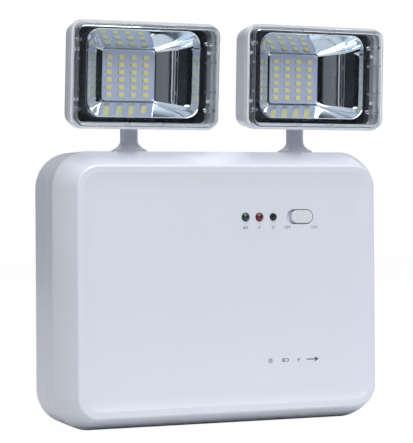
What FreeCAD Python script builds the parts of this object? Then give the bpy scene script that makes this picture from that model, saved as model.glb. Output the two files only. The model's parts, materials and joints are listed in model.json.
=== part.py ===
import FreeCAD, Part
import math
import os

from FreeCAD import Placement, Rotation, Vector

# Self-contained emergency light: a mains-charged block with two aimable LED lamp heads on top.
#
# Frame: +Z is up, -Y is the front, +X is to the right of someone who faces the front. The origin is the
# middle of the flat underside that the block stands on. Millimetres throughout.
# "depth" is a distance from the back face towards the front; "inset" is a distance inwards from the
# body's rounded outline; "ahead" is a distance in front of a lamp head's pan axis.

# ---- body -------------------------------------------------------------------------------------------
BODY_WIDTH = 200.0
BODY_HEIGHT = 158.5
BODY_DEPTH = 58.0            # back face to the crest of the front rim
CREASE_DEPTH = 36.6          # back face to the sharp edge where the front bevel starts
PARTING_DEPTH = 25.0         # back face to the joint between the two shells
CORNER_RADIUS = 21.0
BEVEL_INSET = 9.4            # how far the rim's crest lies inside the outline
BEVEL_CURVE = 95.0           # radius of the bevel's slight bulge
CREST_RADIUS = 1.6
RIM_LAND = 3.0               # the flat land round the panel, inwards from the crest
PANEL_SINK = 1.8             # a shallow dish leads from the land down to the flat panel
BACK_EDGE_ROUND = 2.5
BODY_WALL = 2.4
SEAM_CHAMFER = 0.35          # the fine groove where the two shells meet
LIP_HEIGHT = 2.0             # the front shell's lip reaches this far into the rear shell
LIP_CLEARANCE = 0.15

# ---- case screws, from behind through hollow posts --------------------------------------------------
POST_INSET = 16.0
POST_RADIUS = 4.6
POST_TOP_DEPTH = 20.0
POST_SHOULDER = 4.0
CASE_BOSS_RADIUS = 3.8
SCREW_RADIUS = 1.5
SCREW_HEAD_RADIUS = 2.8
SCREW_HEAD_HEIGHT = 1.8
SCREW_GRIP = 14.0            # thread inside the front boss
SCREW_FIT = 0.03             # thread to boss
SCREW_HOLE_CLEARANCE = 0.2
SCREW_HEAD_CLEARANCE = 0.5

# ---- wall fixing and cable inlet --------------------------------------------------------------------
KEYHOLE_X = 60.0
KEYHOLE_Z = 105.0
KEYHOLE_ENTRY_RADIUS = 4.5
KEYHOLE_SLOT_RADIUS = 2.2
KEYHOLE_SLOT_RISE = 9.0
INLET_X = 76.0
INLET_Z = 62.0
INLET_POCKET_RADIUS = 11.0
INLET_POCKET_DEPTH = 6.0
GROMMET_BORE_RADIUS = 3.5
GROMMET_NECK_RADIUS = 5.5
GROMMET_FLANGE_RADIUS = 7.6
GROMMET_FLANGE = 1.5
GROMMET_CLEARANCE = 0.1

# ---- battery, lying on ribs, with a strap ------------------------------------------------------------
BATTERY_LENGTH = 101.0
BATTERY_THICKNESS = 47.0
BATTERY_HEIGHT = 70.0
BATTERY_BOTTOM = 9.0
BATTERY_EDGE_ROUND = 1.5
TERMINAL_LENGTH = 6.0
TERMINAL_WIDTH = 4.8
TERMINAL_THICKNESS = 0.8
TERMINAL_SPACING = 28.0
SHELF_RIBS_X = (-42.0, -14.0, 14.0, 42.0)
RIB_THICKNESS = 2.0
RIB_DEPTH = 38.0
SIDE_RIB_GAP = 0.4
SIDE_RIB_DEPTH = 20.0
STRAP_WIDTH = 12.0
STRAP_THICKNESS = 1.0
STRAP_GAP = 0.2
STRAP_POST_X = 60.5
STRAP_POST_RADIUS = 4.0
STRAP_POST_DEPTH = 12.0
STRAP_FOOT = 9.0
STRAP_SCREW_LENGTH = 7.0

# ---- circuit board and controls ----------------------------------------------------------------------
BOARD_LOW_X = -14.0
BOARD_HIGH_X = 76.0
BOARD_LOW_Z = 88.0
BOARD_HIGH_Z = 142.0
BOARD_THICKNESS = 1.6
BOARD_STANDOFF = 6.5         # panel's inner face to the board
BOARD_BOSS_RADIUS = 3.0
BOARD_HOLE_MARGIN = 4.5
BOARD_SCREW_LENGTH = 6.0
CONTROL_Z = 120.3
GREEN_X = 10.0
INDICATOR_PITCH = 8.65
INDICATOR_RADIUS = 2.5
INDICATOR_FLANGE_RADIUS = 2.9
INDICATOR_FLANGE = 1.0
INDICATOR_STAND = 1.6        # dome's tip in front of the panel
INDICATOR_LENGTH = 8.6
INDICATOR_CLEARANCE = 0.1
LEG_SPACING = 2.54
LEG_RADIUS = 0.28
BUTTON_RADIUS = 1.9
BUTTON_CLEARANCE = 0.3
BUTTON_STAND = 0.9
BUTTON_DIMPLE_RADIUS = 2.6
BUTTON_DIMPLE_DEPTH = 0.3
BUTTON_TRAVEL = 0.5
TACT_SIZE = 6.0
TACT_HEIGHT = 3.6
BUTTON_GUIDE_CLEARANCE = 0.08
SWITCH_X = 44.4
SWITCH_OPENING_LENGTH = 17.0
SWITCH_OPENING_HEIGHT = 8.6
KNOB_LENGTH = 13.6
KNOB_HEIGHT = 7.6
KNOB_TRAVEL = 2.7
KNOB_STAND = 0.2             # the knob's face in front of the panel
KNOB_PLATE = 1.0
KNOB_PLATE_OVERLAP = 1.6
KNOB_GAP = 0.3
SLIDER_LENGTH = 14.0
SLIDER_HEIGHT = 6.5
SLIDER_DEPTH = 3.8
SLIDER_POST = 2.0
SLIDER_SLOT_CLEARANCE = 0.3
SLIDER_SLOT_DEPTH = 2.0
SWITCH_OPENING_FILLET = 0.6

# ---- what the circuit board carries on its rear face ------------------------------------------------------
TRANSFORMER_X = 6.0
TRANSFORMER_Z = 104.0
TRANSFORMER_SIZE = 22.0
TRANSFORMER_HEIGHT = 17.0
WINDING_RADIUS = 8.0
CAPACITOR_X = (30.0, 44.0)
CAPACITOR_Z = 100.0
CAPACITOR_RADIUS = 5.0
CAPACITOR_HEIGHT = 20.0
MAINS_BLOCK_X = 30.0
MAINS_BLOCK_Z = 132.0
MAINS_BLOCK_LENGTH = 15.0
MAINS_BLOCK_WIDTH = 8.0
MAINS_BLOCK_HEIGHT = 10.0
MAINS_WAYS = 3
PLUG_X = 60.0
PLUG_Z = 102.0
PLUG_LENGTH = 9.0
PLUG_WIDTH = 6.0
PLUG_HEIGHT = 7.5
LEAD_RADIUS = 0.9
LEAD_SPACING = 3.96
LEAD_RISE_X = (66.5, 70.5)
LEAD_BEND_SHARE = 0.45       # of the shorter straight run at a bend
LEAD_DROP = 8.0              # each lead straightens over this height below the plug

# ---- stems that carry the lamp heads ------------------------------------------------------------------
SIDES = ("left", "right")
HEADS_MIDDLE_X = 2.7         # the pair of stems stands a little right of the middle
HEAD_SPACE = 15.1            # between the two heads when both face forwards
REST_PAN = {"left": 3.0, "right": 4.6}      # degrees, turned towards +X
REST_TILT = {"left": 4.3, "right": 2.6}     # degrees, nose down
PIVOT_HEIGHT = 21.4          # tilt pivot above the body's top
NECK_RADIUS = 5.15
CONE_RADIUS = 7.7
FLANGE_RADIUS = 10.4
FLANGE_EDGE = 0.8
CONE_START = 2.4
CONE_END = 5.8
JOURNAL_RADIUS = 5.0
JOURNAL_CLEARANCE = 0.08
WIRE_BORE_RADIUS = 3.0
STEM_WASHER_RADIUS = 9.0
STEM_WASHER = 1.2
STEM_NUT_FLATS = 14.0
STEM_NUT = 4.0
STEM_END = 1.0               # thread showing under the nut
KNUCKLE_RADIUS = 4.9
KNUCKLE_WIDTH = 10.8
PIVOT_CLEARANCE = 0.08

# ---- lamp heads ----------------------------------------------------------------------------------------
HEAD_CENTRE_UP = 23.0        # head's middle above its tilt pivot
COVER_WIDTH = 87.5
COVER_HEIGHT = 58.1
COVER_RADIUS = 5.6
COVER_FRONT = 29.9
COVER_PANE = 1.8
COVER_WALL = 1.8
COVER_EDGE_ROUND = 1.1
COVER_FIT = 0.15
COVER_PEG_RADIUS = 1.1
COVER_PEG_INSET = 0.8         # peg axis inwards from the cover's inner wall
COVER_PEG_Z = 19.2
COVER_TICK_Z = 8.4
COVER_TICK_U = 10.6
COVER_TICK = 0.9
SHELL_RIM = 1.4              # the shell's lip round the cover
SHELL_FRONT = 24.8
SHELL_LEDGE = 21.2           # the cover's wall stands here
SHELL_BAND_END = 20.6        # end of the straight band behind the rim
SHELL_TAPER_END = 0.7
SHELL_TAPER = 15.0           # degrees, sides
SHELL_TAPER_TALL = 4.5       # degrees, top and bottom
SHELL_BACK_RADIUS = 18.0
SHELL_BAND_CORNER = 7.0
SHELL_TAPER_CORNER = 6.2
SHELL_BACK_CORNER = 9.0
SHELL_WALL = 2.2
SHELL_LEDGE_WIDTH = 3.2
CHEEK_THICKNESS = 2.7
CHEEK_GAP = 0.1              # knuckle to cheek
CHEEK_RADIUS = 4.2
TILT_UP_LIMIT = 35.0
TILT_DOWN_LIMIT = 20.0
SLOT_CLEARANCE = 0.4
REFLECTOR_FLANGE_WIDTH = 79.0
REFLECTOR_FLANGE_HEIGHT = 53.8
REFLECTOR_FLANGE_RADIUS = 2.6
REFLECTOR_FLANGE_AHEAD = 21.4
REFLECTOR_FLANGE = 1.2
REFLECTOR_WALL = 1.7
MOUTH_WIDTH = 71.0
MOUTH_HEIGHT = 48.8
MOUTH_RADIUS = 8.5
WINDOW_WIDTH = 32.6
WINDOW_HEIGHT = 28.8
WINDOW_RADIUS = 2.0
REST_U = 30.0                # ribs under the reflector's flange, along and up from the head's middle
REST_Z = 14.0
REST_UNDERLAP = 1.4
REST_DEPTH_ENDS = 8.0
REST_DEPTH_LONG = 12.0
WINDOW_LIP = 0.8             # straight collar round the window, in front of the LED board
FLARE_SIDES = 0.55           # how much the bowl's walls curl: 0 is straight, 1 ends parallel to the beam
FLARE_TOP = 0.15
FLARE_BOTTOM = 0.15
BOWL_STEPS = 5
LED_PLANE = -2.9             # front face of the LED board
LED_BOARD_WIDTH = 52.0
LED_BOARD_HEIGHT = 33.0
LED_BOARD_THICKNESS = 1.6
LED_SCREW_U = 22.5
LED_POST_RADIUS = 3.0
LED_SCREW_LENGTH = 5.0
CHIP_COLUMNS = 4
CHIP_ROWS = 6
CHIP_PITCH_U = 7.64
CHIP_PITCH_Z = 4.33
CHIP_WIDTH = 3.5
CHIP_HEIGHT = 2.8
CHIP_THICKNESS = 0.8
NUT_FLATS = 5.5
NUT_HEIGHT = 2.4
PIVOT_SCREW_TIP = 0.6

# ---- places that follow from the sizes above -----------------------------------------------------------
BACK_Y = CREASE_DEPTH / 2
PANEL_DEPTH = BODY_DEPTH - PANEL_SINK
PANEL_INNER_DEPTH = PANEL_DEPTH - BODY_WALL
BOARD_FRONT_DEPTH = PANEL_INNER_DEPTH - BOARD_STANDOFF
BOARD_BACK_DEPTH = BOARD_FRONT_DEPTH - BOARD_THICKNESS
BATTERY_REAR_DEPTH = BODY_WALL
BATTERY_FRONT_DEPTH = BATTERY_REAR_DEPTH + BATTERY_THICKNESS
BATTERY_TOP = BATTERY_BOTTOM + BATTERY_HEIGHT
BATTERY_MIDDLE_Z = (BATTERY_BOTTOM + BATTERY_TOP) / 2
PIVOT_Z = BODY_HEIGHT + PIVOT_HEIGHT
SHELL_WIDTH = COVER_WIDTH + 2 * SHELL_RIM
PAN_SPREAD = (SHELL_WIDTH + HEAD_SPACE) / 2
PAN_AXIS_X = {"left": HEADS_MIDDLE_X - PAN_SPREAD, "right": HEADS_MIDDLE_X + PAN_SPREAD}
SHELL_HEIGHT = COVER_HEIGHT + 2 * SHELL_RIM
KNOB_REST_X = SWITCH_X + (SWITCH_OPENING_LENGTH - KNOB_LENGTH) / 2 - KNOB_GAP
RED_X = GREEN_X + INDICATOR_PITCH
BUTTON_X = RED_X + INDICATOR_PITCH

X_AXIS = Vector(1, 0, 0)
Y_AXIS = Vector(0, 1, 0)
Z_AXIS = Vector(0, 0, 1)
FORWARD = Vector(0, -1, 0)
BIG = 400.0                  # longer than anything here, for cutting tools


# ---- helpers ---------------------------------------------------------------------------------------------
def at_depth(x, depth, z):
    """A point of the body's frame, given by its distance from the back face."""
    return Vector(x, BACK_Y - depth, z)


def block(low, high):
    """A box between two opposite corners, given in any order."""
    corner = Vector(min(low.x, high.x), min(low.y, high.y), min(low.z, high.z))
    size = high - low
    return Part.makeBox(abs(size.x), abs(size.y), abs(size.z), corner)


def rod(radius, start, end):
    """A cylinder from one point to another."""
    return Part.makeCylinder(radius, (end - start).Length, start, end - start)


def fuse(shapes):
    """One clean solid from several that touch."""
    first, *others = shapes
    return first.multiFuse(others).removeSplitter()


def cut(shape, tools):
    """The shape with every tool taken out of it."""
    return shape.cut(tools).removeSplitter()


def polygon_prism(points, along):
    """A prism on a closed polygon."""
    wire = Part.makePolygon(list(points) + [points[0]])
    return Part.Face(wire).extrude(along)


def hexagon_prism(flats, centre, along, turned=0.0):
    """A hexagonal prism with the given width across flats, starting at centre."""
    corner_radius = flats / math.sqrt(3)
    corners = []
    for index in range(6):
        angle = math.radians(60 * index + turned)
        corners.append(Vector(corner_radius * math.cos(angle), corner_radius * math.sin(angle), 0))
    prism = polygon_prism(corners, Vector(0, 0, along.Length))
    prism.Placement = Placement(centre, Rotation(Z_AXIS, along))
    return prism


def screw(head_seat, tip, head_radius=SCREW_HEAD_RADIUS, head_height=SCREW_HEAD_HEIGHT):
    """A pan-head screw: its head stands behind head_seat, its shank runs to tip, and it has a slot."""
    direction = (tip - head_seat).normalize()
    length = (tip - head_seat).Length
    slot_depth = head_height / 2
    round_over = head_height / 3
    profile = [
        Vector(0, 0, -head_height),
        Vector(head_radius - round_over, 0, -head_height),
        Vector(head_radius, 0, -head_height + round_over),
        Vector(head_radius, 0, 0),
        Vector(SCREW_RADIUS, 0, 0),
        Vector(SCREW_RADIUS, 0, length - SCREW_RADIUS / 2),
        Vector(SCREW_RADIUS / 2, 0, length),
        Vector(0, 0, length),
    ]
    turned = Part.Face(Part.makePolygon(profile + [profile[0]])).revolve(Vector(), Z_AXIS, 360)
    slot_half = head_radius / 6
    slot = block(
        Vector(-BIG, -slot_half, -head_height - 1),
        Vector(BIG, slot_half, -head_height + slot_depth),
    )
    body = turned.cut(slot)
    body.Placement = Placement(head_seat, Rotation(Z_AXIS, direction))
    return body


def rounded_rectangle(width, height, radius, y, centre_z=0.0, centre_x=0.0):
    """A closed wire in a plane of constant y: four straight sides and four corner arcs."""
    half_w = width / 2
    half_h = height / 2
    straight_w = half_w - radius
    straight_h = half_h - radius
    diagonal = radius * math.sqrt(0.5)
    edges = []
    for turn in range(4):
        swap = turn % 2 == 1
        reach, rise = (half_h, straight_w) if swap else (half_w, straight_h)
        corner_reach, corner_rise = (straight_h, straight_w) if swap else (straight_w, straight_h)
        side_start = Vector(reach, 0, -rise)
        side_end = Vector(reach, 0, rise)
        arc_middle = Vector(corner_reach + diagonal, 0, corner_rise + diagonal)
        arc_end = Vector(corner_reach, 0, corner_rise + radius)
        side = Part.LineSegment(side_start, side_end).toShape()
        arc = Part.Arc(side_end, arc_middle, arc_end).toShape()
        for edge in (side, arc):
            edge.rotate(Vector(), Y_AXIS, -90 * turn)
            edge.translate(Vector(centre_x, y, centre_z))
            edges.append(edge)
    return Part.Wire(edges)


def rounded_plate(width, height, radius, y_front, y_back, centre_z=0.0, centre_x=0.0):
    """A flat plate with rounded corners between two planes of constant y."""
    wire = rounded_rectangle(width, height, radius, y_front, centre_z, centre_x)
    return Part.Face(wire).extrude(Vector(0, y_back - y_front, 0))


def carried_section(section, width, height, radius, base_z=0.0):
    """A section carried round a rounded rectangle.

    The section is a face in the plane z = 0, with x as the inset from the outline and y as it is. It is
    extruded along the four sides and revolved about the four corner axes.
    """
    pieces = []
    outline_x = section.copy()
    outline_x.translate(Vector(-radius, 0, 0))
    sides = (
        (Vector(-width / 2 + radius, 0, base_z + radius), height - 2 * radius),
        (Vector(-width / 2 + radius, 0, base_z + height - radius), width - 2 * radius),
        (Vector(width / 2 - radius, 0, base_z + height - radius), height - 2 * radius),
        (Vector(width / 2 - radius, 0, base_z + radius), width - 2 * radius),
    )
    for turn, (start, length) in enumerate(sides):
        quarter = Rotation(Y_AXIS, 90 * turn)
        along = quarter.multVec(Vector(0, 0, length))
        face = outline_x.copy()
        face.Placement = Placement(start, quarter).multiply(outline_x.Placement)
        pieces.append(face.extrude(along))
        end = start + along
        far_face = face.copy()
        far_face.translate(along)
        pieces.append(far_face.revolve(end, Y_AXIS, 90))
    return pieces


def section_face(steps):
    """A face in the plane z = 0 from (inset, depth) steps; a four-value step is an arc by its middle."""
    start = Vector(steps[0][0], BACK_Y - steps[0][1], 0)
    here = start
    edges = []
    for step in list(steps[1:]) + [steps[0]]:
        target = Vector(step[-2], BACK_Y - step[-1], 0)
        if len(step) == 4:
            middle = Vector(step[0], BACK_Y - step[1], 0)
            edges.append(Part.Arc(here, middle, target).toShape())
        elif (target - here).Length > 1e-6:
            edges.append(Part.LineSegment(here, target).toShape())
        here = target
    return Part.Face(Part.Wire(edges))


def circles_meet(centre_a, radius_a, centre_b, radius_b):
    """The point on the left of the line from a to b that lies on both circles."""
    across = (centre_b[0] - centre_a[0], centre_b[1] - centre_a[1])
    distance = math.hypot(*across)
    along = (distance**2 + radius_a**2 - radius_b**2) / (2 * distance)
    aside = math.sqrt(radius_a**2 - along**2)
    unit = (across[0] / distance, across[1] / distance)
    return (
        centre_a[0] + along * unit[0] - aside * unit[1],
        centre_a[1] + along * unit[1] + aside * unit[0],
    )


def on_circle(centre, radius, toward):
    """The point of a circle that lies in the direction of another point."""
    reach = math.hypot(toward[0] - centre[0], toward[1] - centre[1])
    scale = radius / reach
    return (
        centre[0] + (toward[0] - centre[0]) * scale,
        centre[1] + (toward[1] - centre[1]) * scale,
    )


def arc_step(centre, radius, start, end):
    """An arc step for section_face: its middle point, then its end."""
    middle = ((start[0] + end[0]) / 2, (start[1] + end[1]) / 2)
    bulge = on_circle(centre, radius, middle)
    return (*bulge, *end)


# ---- the two shells of the body ------------------------------------------------------------------------
def front_section():
    """Wall section of the front cover: side, bulging bevel, rounded crest, flat land, dish and panel."""
    crease = (0.0, CREASE_DEPTH)
    crest = (BEVEL_INSET, BODY_DEPTH - CREST_RADIUS)
    bulge = circles_meet(crest, BEVEL_CURVE - CREST_RADIUS, crease, BEVEL_CURVE)
    crest_start = on_circle(bulge, BEVEL_CURVE, crest)
    crest_end = (BEVEL_INSET, BODY_DEPTH)
    land_end = (BEVEL_INSET + RIM_LAND, BODY_DEPTH)
    panel_start = (CORNER_RADIUS, PANEL_DEPTH)
    dish_run = CORNER_RADIUS - land_end[0]
    dish_radius = (dish_run**2 + PANEL_SINK**2) / (2 * PANEL_SINK)
    dish = (CORNER_RADIUS, PANEL_DEPTH + dish_radius)
    slope = (BODY_DEPTH - CREASE_DEPTH) / BEVEL_INSET
    inner_corner = (BODY_WALL + (PANEL_INNER_DEPTH - CREASE_DEPTH) / slope, PANEL_INNER_DEPTH)
    lip_inset = BODY_WALL / 2 + LIP_CLEARANCE
    return section_face(
        [
            (SEAM_CHAMFER, PARTING_DEPTH),
            (0.0, PARTING_DEPTH + SEAM_CHAMFER),
            crease,
            arc_step(bulge, BEVEL_CURVE, crease, crest_start),
            arc_step(crest, CREST_RADIUS, crest_start, crest_end),
            land_end,
            arc_step(dish, dish_radius, land_end, panel_start),
            (CORNER_RADIUS, PANEL_INNER_DEPTH),
            inner_corner,
            (BODY_WALL, CREASE_DEPTH),
            (BODY_WALL, PARTING_DEPTH - LIP_HEIGHT),
            (lip_inset, PARTING_DEPTH - LIP_HEIGHT),
            (lip_inset, PARTING_DEPTH),
        ]
    )


def rear_section():
    """Wall section of the rear housing: back wall, rounded edge, side, and a rebate for the lip."""
    rebate_inset = BODY_WALL / 2
    rebate_depth = PARTING_DEPTH - LIP_HEIGHT - LIP_CLEARANCE
    round_centre = (BACK_EDGE_ROUND, BACK_EDGE_ROUND)
    return section_face(
        [
            (CORNER_RADIUS, 0.0),
            (BACK_EDGE_ROUND, 0.0),
            arc_step(round_centre, BACK_EDGE_ROUND, (BACK_EDGE_ROUND, 0.0), (0.0, BACK_EDGE_ROUND)),
            (0.0, PARTING_DEPTH - SEAM_CHAMFER),
            (SEAM_CHAMFER, PARTING_DEPTH),
            (rebate_inset, PARTING_DEPTH),
            (rebate_inset, rebate_depth),
            (BODY_WALL, rebate_depth),
            (BODY_WALL, BODY_WALL),
            (CORNER_RADIUS, BODY_WALL),
        ]
    )


def shell_with_floor(section, floor_start, floor_end):
    """A shell of the body: its wall section carried round, and the flat field in the middle."""
    ring = carried_section(section, BODY_WIDTH, BODY_HEIGHT, CORNER_RADIUS)
    reach = BODY_WIDTH / 2 - CORNER_RADIUS
    field = block(
        at_depth(-reach, floor_start, CORNER_RADIUS),
        at_depth(reach, floor_end, BODY_HEIGHT - CORNER_RADIUS),
    )
    return fuse(ring + [field])


def case_post_places():
    """The four corners where the case is screwed together, as (x, z)."""
    reach = BODY_WIDTH / 2 - POST_INSET
    return [(x, z) for x in (-reach, reach) for z in (POST_INSET, BODY_HEIGHT - POST_INSET)]


def stem_holes():
    """Holes for both stems, cut half in each shell."""
    holes = []
    for side in SIDES:
        low = at_depth(PAN_AXIS_X[side], PARTING_DEPTH, BODY_HEIGHT - 2 * BODY_WALL)
        high = at_depth(PAN_AXIS_X[side], PARTING_DEPTH, BODY_HEIGHT + 1)
        holes.append(rod(JOURNAL_RADIUS + JOURNAL_CLEARANCE, low, high))
    return holes


def keyhole(x):
    """A keyhole through the back wall: a round entry and a narrow slot above it."""
    outside = -BODY_WALL
    inside = 2 * BODY_WALL
    entry = rod(
        KEYHOLE_ENTRY_RADIUS,
        at_depth(x, outside, KEYHOLE_Z),
        at_depth(x, inside, KEYHOLE_Z),
    )
    slot = block(
        at_depth(x - KEYHOLE_SLOT_RADIUS, outside, KEYHOLE_Z),
        at_depth(x + KEYHOLE_SLOT_RADIUS, inside, KEYHOLE_Z + KEYHOLE_SLOT_RISE),
    )
    top = rod(
        KEYHOLE_SLOT_RADIUS,
        at_depth(x, outside, KEYHOLE_Z + KEYHOLE_SLOT_RISE),
        at_depth(x, inside, KEYHOLE_Z + KEYHOLE_SLOT_RISE),
    )
    return fuse([entry, slot, top])


def shelf_rib(x):
    """A rib that the battery lies on; past the joint it clears the front cover."""
    half = RIB_THICKNESS / 2
    clear = BODY_WALL + 0.8
    outline = [
        at_depth(x - half, BODY_WALL / 2, BODY_WALL / 2),
        at_depth(x - half, PARTING_DEPTH - LIP_HEIGHT - 2 * LIP_CLEARANCE, BODY_WALL / 2),
        at_depth(x - half, PARTING_DEPTH - LIP_HEIGHT - 2 * LIP_CLEARANCE, clear),
        at_depth(x - half, RIB_DEPTH, clear + 2),
        at_depth(x - half, RIB_DEPTH, BATTERY_BOTTOM),
        at_depth(x - half, BODY_WALL / 2, BATTERY_BOTTOM),
    ]
    return polygon_prism(outline, Vector(RIB_THICKNESS, 0, 0))


def side_ribs():
    """Four ribs on the back wall that keep the battery from sliding sideways."""
    ribs = []
    near = BATTERY_LENGTH / 2 + SIDE_RIB_GAP
    spread = BATTERY_HEIGHT / 3
    for sign in (-1, 1):
        for z in (BATTERY_MIDDLE_Z - spread, BATTERY_MIDDLE_Z + spread):
            ribs.append(
                block(
                    at_depth(sign * near, BODY_WALL / 2, z - RIB_THICKNESS / 2),
                    at_depth(sign * (near + 4), SIDE_RIB_DEPTH, z + RIB_THICKNESS / 2),
                )
            )
    return ribs


def rear_housing():
    """The rear shell with its screw posts, battery ribs, strap posts, keyholes and cable pocket."""
    shell = shell_with_floor(rear_section(), 0, BODY_WALL)
    wall_middle = BODY_WALL / 2
    added = [shelf_rib(x) for x in SHELF_RIBS_X] + side_ribs()
    removed = [keyhole(-KEYHOLE_X), keyhole(KEYHOLE_X)] + stem_holes()
    head_bore = SCREW_HEAD_RADIUS + SCREW_HEAD_CLEARANCE
    shoulder = POST_TOP_DEPTH - POST_SHOULDER
    for x, z in case_post_places():
        added.append(rod(POST_RADIUS, at_depth(x, wall_middle, z), at_depth(x, POST_TOP_DEPTH, z)))
        removed.append(rod(head_bore, at_depth(x, -1, z), at_depth(x, shoulder, z)))
        removed.append(
            rod(SCREW_RADIUS + SCREW_HOLE_CLEARANCE, at_depth(x, 0, z), at_depth(x, POST_TOP_DEPTH + 1, z))
        )
    for sign in (-1, 1):
        x = sign * STRAP_POST_X
        foot = at_depth(x, wall_middle, BATTERY_MIDDLE_Z)
        top = at_depth(x, STRAP_POST_DEPTH, BATTERY_MIDDLE_Z)
        added.append(rod(STRAP_POST_RADIUS, foot, top))
        pilot_end = at_depth(x, STRAP_POST_DEPTH - STRAP_SCREW_LENGTH, BATTERY_MIDDLE_Z)
        removed.append(rod(SCREW_RADIUS + SCREW_FIT, pilot_end, top + Vector(0, -1, 0)))
    pocket_floor = INLET_POCKET_DEPTH + BODY_WALL
    added.append(
        rod(
            INLET_POCKET_RADIUS + BODY_WALL,
            at_depth(INLET_X, wall_middle, INLET_Z),
            at_depth(INLET_X, pocket_floor, INLET_Z),
        )
    )
    removed.append(
        rod(
            INLET_POCKET_RADIUS,
            at_depth(INLET_X, -1, INLET_Z),
            at_depth(INLET_X, INLET_POCKET_DEPTH, INLET_Z),
        )
    )
    removed.append(
        rod(
            GROMMET_NECK_RADIUS + GROMMET_CLEARANCE,
            at_depth(INLET_X, 0, INLET_Z),
            at_depth(INLET_X, pocket_floor + 1, INLET_Z),
        )
    )
    return cut(fuse([shell] + added), removed)


def board_screw_places():
    """The four corners of the circuit board's screw pattern, as (x, z)."""
    xs = (BOARD_LOW_X + BOARD_HOLE_MARGIN, BOARD_HIGH_X - BOARD_HOLE_MARGIN)
    zs = (BOARD_LOW_Z + BOARD_HOLE_MARGIN, BOARD_HIGH_Z - BOARD_HOLE_MARGIN)
    return [(x, z) for x in xs for z in zs]


def oblong(length, height, depth_from, depth_to, x):
    """A bar with fully rounded ends, standing on the panel at the height of the controls."""
    front = BACK_Y - depth_from
    back = BACK_Y - depth_to
    return rounded_plate(length, height, height / 2 - 0.01, front, back, CONTROL_Z, x)


def front_cover():
    """The front shell with its screw bosses, board bosses and the openings of the controls."""
    shell = shell_with_floor(front_section(), PANEL_INNER_DEPTH, PANEL_DEPTH)
    panel_middle = PANEL_DEPTH - BODY_WALL / 2
    through = PANEL_DEPTH + 1
    added = []
    removed = stem_holes()
    for x, z in case_post_places():
        added.append(rod(CASE_BOSS_RADIUS, at_depth(x, POST_TOP_DEPTH, z), at_depth(x, panel_middle, z)))
        pilot_end = POST_TOP_DEPTH + SCREW_GRIP
        removed.append(
            rod(SCREW_RADIUS + SCREW_FIT, at_depth(x, POST_TOP_DEPTH - 1, z), at_depth(x, pilot_end, z))
        )
    for x, z in board_screw_places():
        added.append(rod(BOARD_BOSS_RADIUS, at_depth(x, BOARD_FRONT_DEPTH, z), at_depth(x, panel_middle, z)))
        pilot_end = BOARD_BACK_DEPTH + BOARD_SCREW_LENGTH
        removed.append(
            rod(SCREW_RADIUS + SCREW_FIT, at_depth(x, BOARD_BACK_DEPTH, z), at_depth(x, pilot_end, z))
        )
    for x in (GREEN_X, RED_X):
        removed.append(
            rod(
                INDICATOR_RADIUS + INDICATOR_CLEARANCE,
                at_depth(x, BOARD_FRONT_DEPTH, CONTROL_Z),
                at_depth(x, through, CONTROL_Z),
            )
        )
    removed.append(
        rod(
            BUTTON_RADIUS + BUTTON_CLEARANCE,
            at_depth(BUTTON_X, BOARD_FRONT_DEPTH, CONTROL_Z),
            at_depth(BUTTON_X, through, CONTROL_Z),
        )
    )
    removed.append(
        oblong(SWITCH_OPENING_LENGTH, SWITCH_OPENING_HEIGHT, through, BOARD_FRONT_DEPTH, SWITCH_X)
    )
    return cut(fuse([shell] + added), removed)


def case_screws():
    """Four screws that hold the shells together, in from the back."""
    shoulder = POST_TOP_DEPTH - POST_SHOULDER
    tip = POST_TOP_DEPTH + SCREW_GRIP - SCREW_RADIUS
    return [screw(at_depth(x, shoulder, z), at_depth(x, tip, z)) for x, z in case_post_places()]


def cable_grommet():
    """A soft ring with a groove that grips the floor of the cable pocket."""
    floor_back = INLET_POCKET_DEPTH
    floor_front = INLET_POCKET_DEPTH + BODY_WALL
    profile = [
        (GROMMET_BORE_RADIUS, floor_back - GROMMET_FLANGE),
        (GROMMET_FLANGE_RADIUS - GROMMET_FLANGE / 2, floor_back - GROMMET_FLANGE),
        (GROMMET_FLANGE_RADIUS, floor_back - GROMMET_FLANGE / 2),
        (GROMMET_FLANGE_RADIUS, floor_back),
        (GROMMET_NECK_RADIUS, floor_back),
        (GROMMET_NECK_RADIUS, floor_front),
        (GROMMET_FLANGE_RADIUS - GROMMET_FLANGE / 2, floor_front),
        (GROMMET_NECK_RADIUS, floor_front + GROMMET_FLANGE),
        (GROMMET_BORE_RADIUS, floor_front + GROMMET_FLANGE),
    ]
    points = [at_depth(INLET_X + radius, depth, INLET_Z) for radius, depth in profile]
    face = Part.Face(Part.makePolygon(points + [points[0]]))
    return face.revolve(at_depth(INLET_X, 0, INLET_Z), Y_AXIS, 360)


# ---- battery -------------------------------------------------------------------------------------------
def battery():
    """A sealed battery that lies on its long side."""
    half = BATTERY_LENGTH / 2
    case = block(
        at_depth(-half, BATTERY_REAR_DEPTH, BATTERY_BOTTOM),
        at_depth(half, BATTERY_FRONT_DEPTH, BATTERY_TOP),
    )
    return case.makeFillet(BATTERY_EDGE_ROUND, case.Edges)


def terminal_middles():
    """Where the two battery tabs leave the battery's right end."""
    depth = (BATTERY_REAR_DEPTH + BATTERY_FRONT_DEPTH) / 2
    half = TERMINAL_SPACING / 2
    return [at_depth(BATTERY_LENGTH / 2, depth, BATTERY_MIDDLE_Z + sign * half) for sign in (1, -1)]


def battery_terminals():
    """The two tab terminals."""
    tabs = []
    for middle in terminal_middles():
        half = Vector(0, TERMINAL_WIDTH / 2, TERMINAL_THICKNESS / 2)
        tabs.append(block(middle - half, middle + half + Vector(TERMINAL_LENGTH, 0, 0)))
    return tabs


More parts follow.
